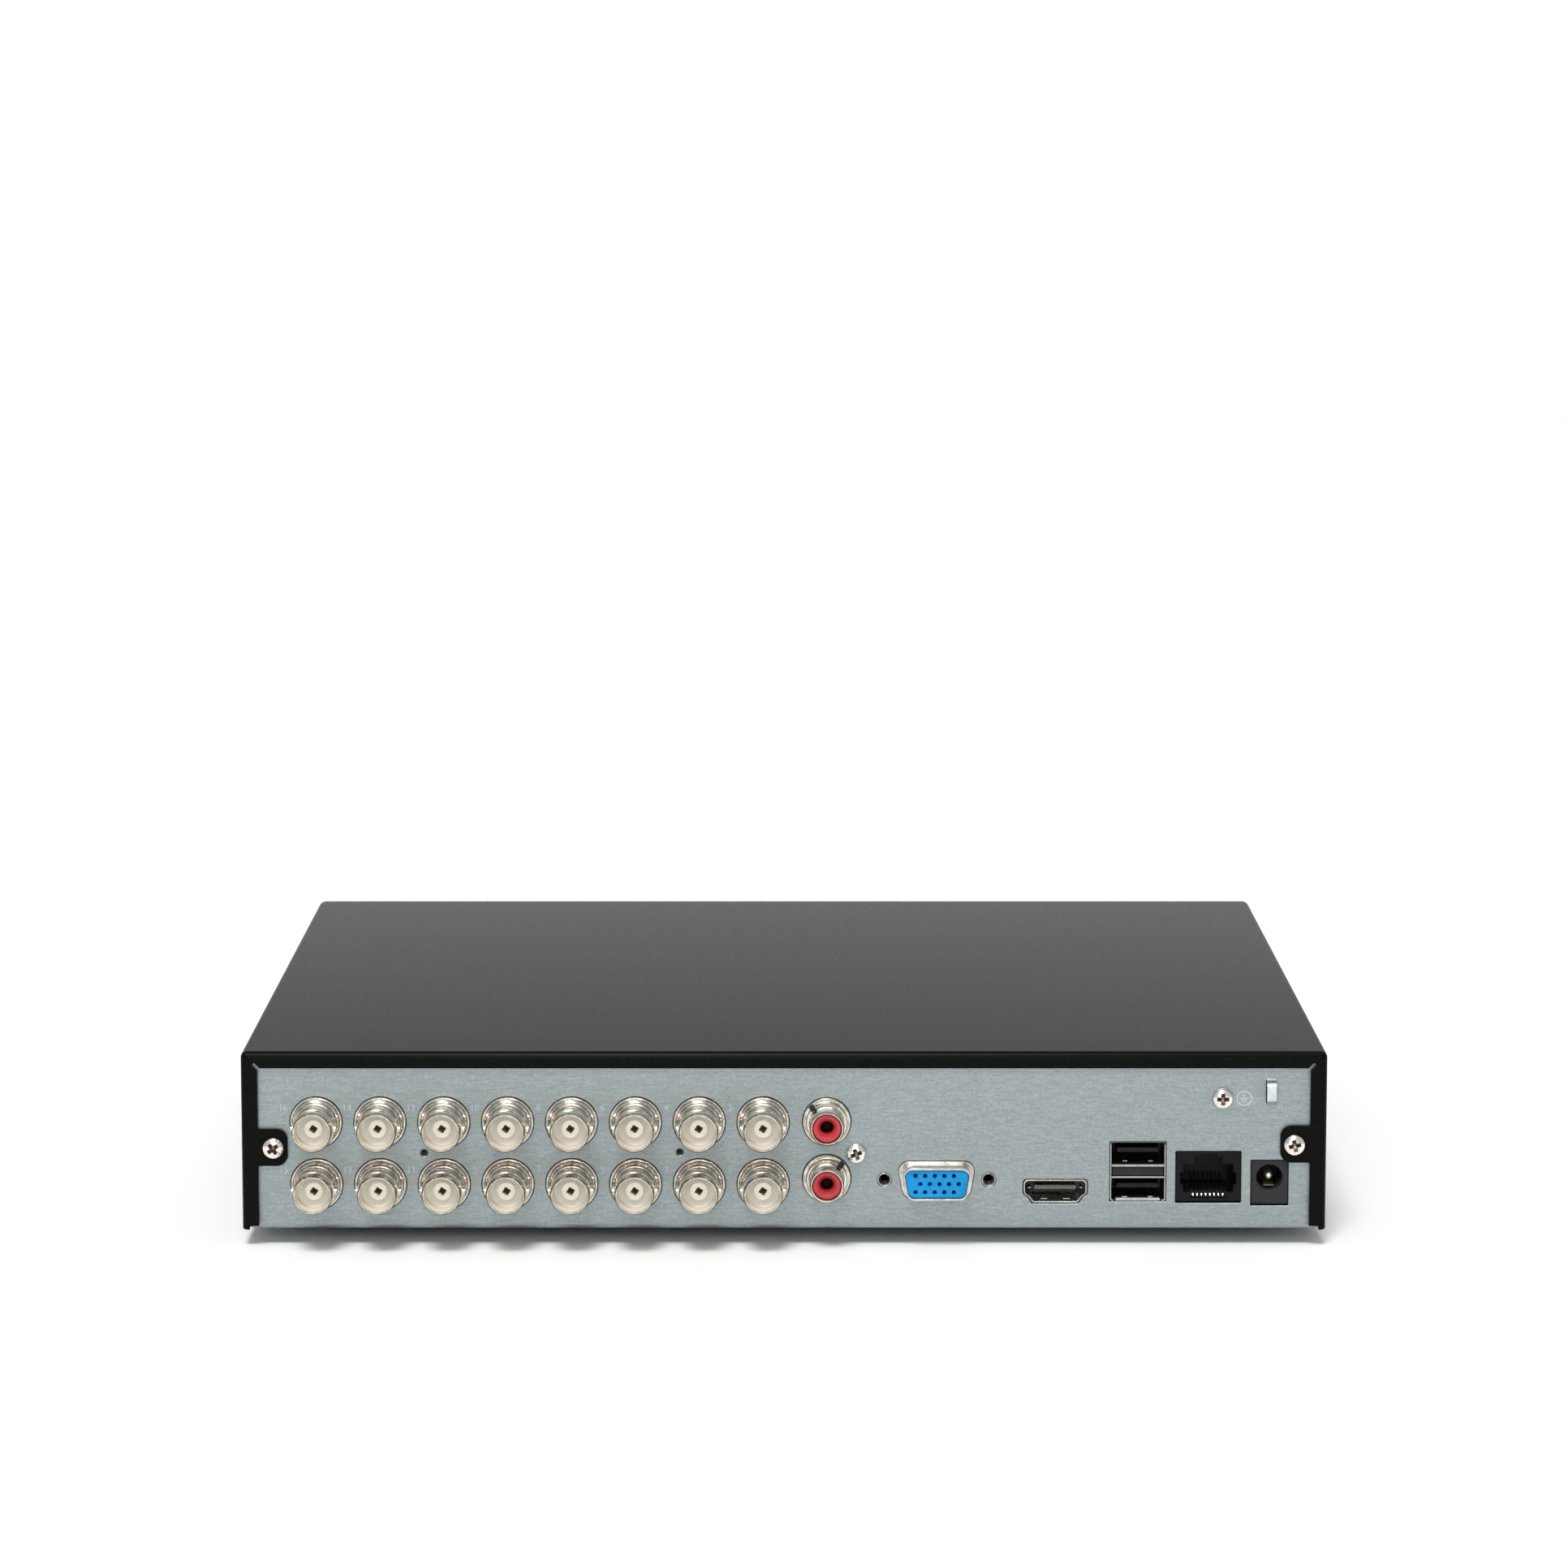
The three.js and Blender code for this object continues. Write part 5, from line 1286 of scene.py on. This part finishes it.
def main_board():
    lo, hi = box_mm("main_board")
    top = lo.z + 1.6
    outline = rounded(((lo.x + hi.x) / 2, (lo.y + hi.y) / 2), hi.x - lo.x, hi.y - lo.y, 2)
    board = make_object("board", prism(outline, lo.z, top, "Z"), BOARD)
    rings = bmesh.new()
    for i in (1, 2):
        spot = middle(f"board_screw_{i}")
        combine(board, tool(prism(circle((spot.x, spot.y), 1.8, 28), lo.z - 1, top + 1, "Z")))
        add_turned(rings, [(1.85, top - 0.02), (3.4, top - 0.02), (3.4, top + 0.04), (1.85, top + 0.04)],
                   (spot.x, spot.y, 0), "Z", 32)
    finish_piece(board, "case", "circuit_board", "main_board")
    finish_piece(make_object("board_pads", rings, GOLD), "case", "contact_brass")

    chips, legs = bmesh.new(), bmesh.new()
    for x, y, width, depth, height in PACKAGES:
        add_block(chips, (x - width / 2 + 0.9, y - depth / 2 + 0.9, top + 0.12),
                  (x + width / 2 - 0.9, y + depth / 2 - 0.9, top + height))
        add_legs(legs, x, y, width, depth, top)
    add_block(chips, (-31, 41, top + 0.05), (-9, 63, top + 1.5))
    chips = soften(make_object("chips", chips, CHIP), 0.18)
    finish_piece(chips, "case", "black_plastic")
    finish_piece(make_object("chip_legs", legs, SCREW), "case", "nickel_plate")

    ceramics, resistors, caps = bmesh.new(), bmesh.new(), bmesh.new()
    for row, (x0, y0, count, step_x, step_y) in enumerate(SMALL_ROWS):
        for i in range(count):
            x, y = x0 + i * step_x, y0 + i * step_y
            along = (row + i) % 3 == 0
            w, d = (0.8, 0.5) if along else (0.5, 0.8)
            body = ceramics if (row * 7 + i) % 2 else resistors
            add_block(body, (x - w, y - d, top + 0.02),
                      (x + w, y + d, top + (0.8 if body is ceramics else 0.45)))
            ends = ((w, 0), (-w, 0)) if along else ((0, d), (0, -d))
            for dx, dy in ends:
                add_block(caps, (x + dx - 0.28, y + dy - 0.52, top + 0.01),
                          (x + dx + 0.28, y + dy + 0.52, top + 0.4))
    for name, geometry, material, slot in (("ceramic_parts", ceramics, TAN, "cream_plastic"),
                                           ("resistors", resistors, CHIP, "black_plastic"),
                                           ("solder_ends", caps, SCREW, "nickel_plate")):
        finish_piece(make_object(name, geometry, material), "case", slot)

    sleeves, tops = bmesh.new(), bmesh.new()
    for x, y, radius, height in CANS:
        high = top + height
        add_turned(sleeves, [(0, top + 0.1), (radius - 0.2, top + 0.1), (radius, top + 0.5),
                             (radius, top + 1.2),
                             (radius - 0.25, top + 1.6), (radius, top + 2.0), (radius, high - 0.4),
                             (radius - 0.35, high - 0.06), (radius - 0.6, high - 0.2),
                             (0, high - 0.2)], (x, y, 0), "Z", 32)
        add_turned(tops, [(0, high - 0.18), (radius - 0.65, high - 0.18),
                          (radius - 0.75, high - 0.02), (0, high - 0.02)],
                   (x, y, 0), "Z", 32)
    finish_piece(make_object("can_sleeves", sleeves, CHIP), "case", "black_plastic")
    finish_piece(make_object("can_tops", tops, FINNED), "case", "cast_aluminium")

    spots = [((86, 12), (104, 21), 6), ((-86, 14), (-74, 20), 5.5), ((106.5, 32), (112.5, 42), 5)]
    for i, ((x0, y0), (x1, y1), height) in enumerate(spots):
        header((x0, y0, top + 0.02), (x1, y1, top + height), f"board_header_{i + 1}")
    data = make_object("data_header", block((60, 12, top + 0.02), (78, 21, top + 7)), BLACK)
    finish_piece(soften(data, 0.3, 2, 50), "case", "black_plastic")
    sounder = turned([(0, top + 0.05), (5.8, top + 0.05), (6, top + 0.4), (6, top + 6.6),
                      (5.6, top + 7), (1.4, top + 7),
                      (1.1, top + 6.4), (0, top + 6.4)], (-98, 44, 0), "Z", 48)
    finish_piece(make_object("sounder", sounder, BLACK), "case", "black_plastic")

    cell = middle("coin_cell")
    holder = turned([(0, top + 0.02), (12.6, top + 0.02), (12.8, top + 0.3), (12.8, top + 3.3),
                     (12.5, top + 3.6),
                     (11.2, top + 3.6), (10.8, top + 3.2), (10.8, top + 0.8), (0, top + 0.8)],
                     (cell.x, cell.y, 0), "Z", 56)
    holder = make_object("cell_holder", holder, BLACK)
    combine(holder, tool(block((cell.x - 3, cell.y + 8, top + 1.2), (cell.x + 3, cell.y + 14, top + 5))))
    finish_piece(soften(holder, 0.15, 1, 60), "case", "black_plastic")
    low = box_mm("coin_cell")[0].z
    disc = turned([(0, low), (8.6, low), (8.8, low + 0.3), (9.6, low + 0.35), (10, low + 0.8),
                   (10, low + 2.9), (9.7, low + 3.2), (0, low + 3.2)], (cell.x, cell.y, 0), "Z", 56)
    finish_piece(make_object("cell", disc, STAINLESS), "case", "bright_steel", "coin_cell")

    low, high = box_mm("heatsink")
    size = high.x - low.x
    sink = block((low.x, low.y, low.z), (high.x, high.y, low.z + 2))
    sink = make_object("heatsink_base", sink, FINNED)
    for i in range(9):
        x = low.x + 0.6 + i * (size - 1.2) / 8
        fin = block((x - 0.6, low.y, low.z + 1.9), (x + 0.6, high.y, high.z))
        combine(sink, tool(fin), "UNION")
    combine(sink, tool(block((low.x - 1, middle("heatsink").y - 2, low.z + 2.2),
                             (high.x + 1, middle("heatsink").y + 2, high.z + 1))))
    finish_piece(soften(sink, 0.2, 2, 50), "case", "cast_aluminium", "heatsink")


def add_legs(geometry, x, y, width, depth, top):
    """Gull-wing legs down the two long sides of a package."""
    count = int((width - 2.4) / 1.0)
    for i in range(count):
        spot = x + (i - (count - 1) / 2) * 1.0
        for side in (-1, 1):
            edge = y + side * (depth / 2 - 0.9)
            far = y + side * depth / 2
            add_block(geometry, (spot - 0.2, min(edge, far), top + 0.01),
                      (spot + 0.2, max(edge, far), top + 0.22))


main_board()


# ---- hard drive ------------------------------------------------------------------------

def hard_drive():
    lo, hi = box_mm("hdd_base")
    x, y = (lo.x + hi.x) / 2, (lo.y + hi.y) / 2
    spindle, deck = middle("hdd_platter"), lo.z + 9
    base = prism(rounded((x, y), hi.x - lo.x, hi.y - lo.y, 2.5), lo.z, hi.z, "Z")
    base = soften(make_object("drive_base", base, CAST), 0.5, 2, 50)
    combine(base, tool(prism(circle((spindle.x, spindle.y), 48.7, 72), deck, hi.z + 1, "Z")))
    combine(base, tool(block((x - 4, lo.y + 4, deck), (hi.x - 5, hi.y - 3.4, hi.z + 1))))
    combine(base, tool(block((x - 55, y - 40, lo.z - 1), (hi.x + 1, y + 40, lo.z + 5.2))))
    side_holes = bmesh.new()
    for dx in (-41, 0.5, 60):
        for side in (-1, 1):
            edge = y + side * (hi.y - lo.y) / 2
            ends = sorted((edge - side * 3.0, edge + side * 1))
            add_turned(side_holes, rod(1.6, ends[0], ends[1]), (x + dx, 0, lo.z + 6.35), steps=24)
    combine(base, tool(side_holes))
    for i in (1, 2, 3, 4):
        spot = middle(f"hdd_screw_{i}")
        combine(base, tool(prism(circle((spot.x, spot.y), 1.75, 24), lo.z - 1, lo.z + 6, "Z")))
    finish_piece(base, "case", "cast_aluminium", "hdd_base")

    lid_lo, lid_hi = box_mm("hdd_lid")
    lid = prism(rounded((x, y), lid_hi.x - lid_lo.x, lid_hi.y - lid_lo.y, 4, 8), lid_lo.z, lid_hi.z, "Z")
    lid = make_object("drive_lid", lid, STAINLESS)
    rim = lid_hi.z
    for outline, depth in ((circle((spindle.x, spindle.y), 15, 64), 0.35),
                           (rounded((x + 40, y), 50, 78, 9, 8), 0.3)):
        combine(lid, tool(prism(outline, rim - depth, rim + 1, "Z")))
    heads = bmesh.new()
    for dx, dy in ((-69, -46), (-69, 46), (69, -46), (69, 46), (10, -47.5), (10, 47.5)):
        combine(lid, tool(prism(circle((x + dx, y + dy), 2.4, 28), rim - 0.55, rim + 1, "Z")))
        add_turned(heads, [(0, rim - 0.5), (2.1, rim - 0.5), (2.1, rim - 0.2), (1.9, rim - 0.02),
                           (0.95, rim - 0.02),
                           (0.8, rim - 0.35), (0, rim - 0.35)], (x + dx, y + dy, 0), "Z", 28)
    finish_piece(soften(lid, 0.15, 2, 60), "case", "bright_steel", "hdd_lid")
    finish_piece(make_object("drive_lid_screws", heads, SCREW), "case", "screw_metal")
    label = prism(rounded((x + 40, y), 44, 70, 3, 6), rim - 0.29, rim - 0.2, "Z")
    finish_piece(make_object("drive_label", label, WHITE), "case", "cream_plastic")

    low = box_mm("hdd_platter")[0].z
    disc = turned([(0, low), (12, low), (12, low + 6), (47.2, low + 6), (47.5, low + 6.3),
                   (47.5, low + 7),
                   (47.2, low + 7.3), (12.6, low + 7.3), (12.6, low + 8.6), (11.6, low + 9.5),
                   (5, low + 9.5),
                   (4.6, low + 9.0), (0, low + 9.0)], (spindle.x, spindle.y, 0), "Z", 96)
    disc = make_object("disc", disc, MIRROR_DISC)
    for i in range(6):
        turn = math.radians(60 * i)
        spot = (spindle.x + 8.4 * math.cos(turn), spindle.y + 8.4 * math.sin(turn))
        combine(disc, tool(prism(circle(spot, 1.2, 20), low + 8.3, low + 11, "Z")))
    finish_piece(disc, "drive_disc", "bright_steel", "hdd_platter")

    pivot, parked = (spindle.x + 58, spindle.y + 26), math.radians(254.6)
    arm_low = box_mm("hdd_actuator")[0].z - 0.4
    blade = [(4, -5, 1), (42, -1.6, 4), (50, -1.2, 0.3), (50, 1.2, 0.3), (42, 1.6, 4), (4, 5, 1)]
    window = [(14, -2, 0.8), (30, -1.2, 0.6), (30, 1.2, 0.6), (14, 2, 0.8)]
    arm = make_object("drive_arm_pivot", turned([(0, 0.4), (6.2, 0.4), (6.5, 0.7), (6.5, 11.7),
                                                 (6.2, 12), (2.5, 12),
                                                 (2.2, 11.4), (0, 11.4)], axis="Z", steps=48), FINNED)
    for z0, z1 in ((4.2, 5.2), (8.1, 9.1)):
        layer = tool(prism(fillet(blade), z0, z1, "Z"))
        combine(layer, tool(prism(fillet(window), z0 - 1, z1 + 1, "Z")))
        combine(arm, layer, "UNION")
    coil = [(-4, -4, 0.5), (-4, 4, 0.5), (-15, 8, 1.5), (-17, 4, 1), (-17, -4, 1), (-15, -8, 1.5)]
    coil = tool(prism(fillet(coil), 5.2, 8.1, "Z"))
    combine(arm, coil, "UNION")
    soften(arm, 0.15, 2, 50)
    arm.data.transform(Matrix.Translation(Vector((*pivot, arm_low)) * MM) @ Matrix.Rotation(parked, 4,
                                                                                            "Z"))
    finish_piece(arm, "drive_arm", "cast_aluminium", "hdd_actuator")

    low, high = box_mm("hdd_board")
    under = make_object("drive_board", prism(rounded(((low.x + high.x) / 2 - 0.8, y),
                                                     high.x - low.x - 1.6, 78, 2), low.z, low.z + 1.2,
                                                     "Z"), BOARD)
    finish_piece(under, "case", "circuit_board", "hdd_board")
    plug = make_object("drive_socket", block((high.x - 7.6, y - 34, low.z + 1.25),
                                             (high.x, y + 12, high.z)), BLACK)
    finish_piece(soften(plug, 0.3, 2, 50), "case", "black_plastic")


hard_drive()


def underside_screws():
    """The drive's four screws from below, and the two that hold the main board."""
    for i in (1, 2, 3, 4):
        node = f"hdd_screw_{i}"
        lo, hi = box_mm(node)
        screw = pan_screw(node + "_piece", 2.6, 1.87, 6)
        screw.data.transform(Matrix.Rotation(-math.pi / 2, 4, "X"))
        screw.location = Vector(((lo.x + hi.x) / 2, (lo.y + hi.y) / 2, lo.z + 1.87)) * MM
        finish_piece(screw, "case", "screw_metal", node)
    for i in (1, 2):
        node = f"board_screw_{i}"
        lo, hi = box_mm(node)
        screw = pan_screw(node + "_piece", 2.6, 1.87, 5, 25)
        screw.data.transform(Matrix.Rotation(math.pi / 2, 4, "X"))
        screw.location = Vector(((lo.x + hi.x) / 2, (lo.y + hi.y) / 2, hi.z - 1.87)) * MM
        finish_piece(screw, "case", "screw_metal", node)


underside_screws()


# ---- internal leads --------------------------------------------------------------------

def wires(name, route, spots, radius, material, slot, steps=10, *nodes):
    """A bundle of insulated wires that keep side by side along the route."""
    line = smooth_line(route)
    bundle = bmesh.new()
    for across, up in spots:
        shifted = []
        for i, spot in enumerate(line):
            ahead = line[min(i + 1, len(line) - 1)] - line[max(i - 1, 0)]
            side = ahead.cross(Vector((0, 0, 1)))
            side = side.normalized() if side.length > 1e-4 else Vector((1, 0, 0))
            shifted.append(spot + side * across + side.cross(ahead).normalized() * up)
        strand = tube_along(shifted, radius, steps)
        mesh = bpy.data.meshes.new("strand")
        strand.to_mesh(mesh)
        strand.free()
        bundle.from_mesh(mesh)
        bpy.data.meshes.remove(mesh)
    return finish_piece(make_object(name, bundle, material), "case", slot, *nodes)


def plug(name, lo, hi, material=None, slot="black_plastic"):
    made = make_object(name, block(lo, hi), material or BLACK)
    return finish_piece(soften(made, 0.45, 3, 50), "case", slot)


def leads():
    """Drive data ribbon, drive power bundle and the lead to the lamps, each held along its route."""
    end = box_mm("hdd_base")[1].x + GAP
    y = middle("hdd_base").y
    edge = box_mm("main_board")[0].y - GAP
    data_route = [(end + 8, y + 2, 8.8), (end + 15, y + 2, 8), (64, -46, 7), (70, -34, 7), (70, -18, 8),
                  (69, -5, 11.5), (69, edge - 9, 13), (69, edge - 6, 13.2)]
    ribbon = tube_along(smooth_line(data_route), 2.9, 16, 0.34)
    finish_piece(make_object("data_ribbon", ribbon, RED_CABLE), "case", "red_cable", "sata_data_cable")
    plug("data_plug_drive", (end, y - 5, 6.4), (end + 9, y + 9, 11.2))
    plug("data_plug_board", (62.5, edge - 8, 10.8), (75.5, edge, 15.6))

    power_route = [(end + 8, y - 20, 8.8), (end + 16, y - 20, 8.4), (74, -68, 8), (88, -54, 8),
                   (95, -36, 8),
                   (96, -18, 9), (95, -5, 12.5), (95, edge - 9, 13.4), (95, edge - 7, 13.5)]
    wires("power_wires_dark", power_route, ((-1.3, -0.9), (1.3, -0.9)), 0.8, DARK_CABLE, "grey_cable",
          10, "sata_power_cable")
    wires("power_wire_red", power_route, ((-1.0, 0.9),), 0.8, RED_CABLE, "red_cable")
    wires("power_wire_yellow", power_route, ((1.0, 0.9),), 0.8, YELLOW_WIRE, "grey_cable")
    plug("power_plug_drive", (end, y - 32, 6.4), (end + 9, y - 8, 11.2))
    plug("power_plug_board", (87.5, edge - 8, 10.8), (102.5, edge, 16.2), WHITE, "cream_plastic")

    lamp_x = middle("light_guide").x
    lamp_route = [(lamp_x, -103.5, 13), (lamp_x + 1, -98, 11.5), (108, -88, 7.2), (116, -72, 6.6),
                  (118, -30, 6.6),
                  (118, -6, 7.4), (118, 6, 12), (117.4, 18, 14.2), (117, 30, 14), (116, 35, 13.6),
                  (114.8, 37, 13.2)]
    wires("lamp_lead", lamp_route, ((-0.5, -0.5), (0.5, -0.5), (-0.5, 0.5), (0.5, 0.5)), 0.44,
          DARK_CABLE, "grey_cable", 8, "led_cable")
    plug("lamp_plug_front", (lamp_x - 4.5, -106.2, 11.2), (lamp_x + 4.5, -102.5, 15.3), WHITE,
         "cream_plastic")
    plug("lamp_plug_board", (112.8, 33, 11), (116, 41, 15), WHITE, "cream_plastic")


leads()


# ---- studio and camera ---------------------------------------------------------------

def studio():
    geometry = bmesh.new()
    far, near_edge, wide = -2600.0, 2600.0, 3200.0
    corners = [(-wide, far), (wide, far), (wide, near_edge), (-wide, near_edge)]
    add_prism(geometry, corners, -6, 0, "Z")
    floor_material = Material("studio floor", (0.86, 0.86, 0.855), 0.7)
    floor_material.color(floor_material.noise(9, 2),
                         [(0.3, (0.85, 0.85, 0.845)), (0.7, (0.87, 0.87, 0.865))])
    floor_material.bump(floor_material.noise(700, 2), 0.02, 0.3)
    floor = make_object("studio_floor", geometry, floor_material.material)

    world = bpy.data.worlds.new("studio")
    world.use_nodes = True
    tree = world.node_tree
    seen = tree.nodes["Background"]
    seen.inputs["Color"].default_value = (1.0, 1.0, 1.0, 1.0)
    lit = tree.nodes.new("ShaderNodeBackground")
    direction = tree.nodes.new("ShaderNodeTexCoord")
    toward = tree.nodes.new("ShaderNodeVectorMath")
    toward.operation = "DOT_PRODUCT"
    toward.inputs[1].default_value = (0.0, -1.0, 0.12)
    bright = tree.nodes.new("ShaderNodeValToRGB")
    for element, (position, value) in zip(bright.color_ramp.elements, ((0.7, 0.55), (0.97, 1.12))):
        element.position = position
        element.color = (value, value, value, 1.0)
    path = tree.nodes.new("ShaderNodeLightPath")
    mix = tree.nodes.new("ShaderNodeMixShader")
    tree.links.new(direction.outputs["Generated"], toward.inputs[0])
    tree.links.new(toward.outputs["Value"], bright.inputs["Fac"])
    tree.links.new(bright.outputs["Color"], lit.inputs["Color"])
    tree.links.new(path.outputs["Is Camera Ray"], mix.inputs["Fac"])
    tree.links.new(lit.outputs["Background"], mix.inputs[1])
    tree.links.new(seen.outputs["Background"], mix.inputs[2])
    tree.links.new(mix.outputs["Shader"], tree.nodes["World Output"].inputs["Surface"])
    bpy.context.scene.world = world
    bpy.context.scene.view_settings.view_transform = "Standard"


def soft_light(name, place, aim, size, power):
    """A square area light in metres, aimed at a point."""
    data = bpy.data.lights.new(name, "AREA")
    data.shape = "RECTANGLE"
    data.size, data.size_y = size
    data.energy = power
    light = bpy.data.objects.new(name, data)
    light.location = place
    light.rotation_euler = (Vector(aim) - Vector(place)).to_track_quat("-Z", "Y").to_euler()
    bpy.context.scene.collection.objects.link(light)


def key_light(name, come_from, strength, spread):
    """A far, broad light that comes from a direction, its disc so many degrees across."""
    data = bpy.data.lights.new(name, "SUN")
    data.energy = strength
    data.angle = math.radians(spread)
    light = bpy.data.objects.new(name, data)
    light.rotation_euler = Vector(come_from).to_track_quat("Z", "Y").to_euler()
    bpy.context.scene.collection.objects.link(light)


CAMERA_SPOT = (0.0, 1.3766, 0.2906)
CAMERA_LENS = 124.06
CAMERA_SENSOR = 36.0
CAMERA_DOWN = 7.997
CAMERA_CLIP = (0.05, 20.0)


def camera():
    """The photograph's view: square to the rear panel and eight degrees down."""
    data = bpy.data.cameras.new("camera")
    data.lens = CAMERA_LENS
    data.sensor_width = CAMERA_SENSOR
    data.clip_start, data.clip_end = CAMERA_CLIP
    made = bpy.data.objects.new("camera", data)
    made.location = CAMERA_SPOT
    made.rotation_euler = (math.radians(90 - CAMERA_DOWN), 0.0, math.pi)
    bpy.context.scene.collection.objects.link(made)
    bpy.context.scene.camera = made


studio()
KEY_FROM = (0.1, 0.62, 0.9)
KEY_STRENGTH = 2.65
KEY_SPREAD = 20
FILL_SPOT = (0.1, 1.5, 0.5)
FILL_AIM = (0, 0.1, 0.02)
FILL_SIZE = (0.6, 0.4)
FILL_POWER = 4
key_light("key", KEY_FROM, KEY_STRENGTH, KEY_SPREAD)
soft_light("fill", FILL_SPOT, FILL_AIM, FILL_SIZE, FILL_POWER)
camera()
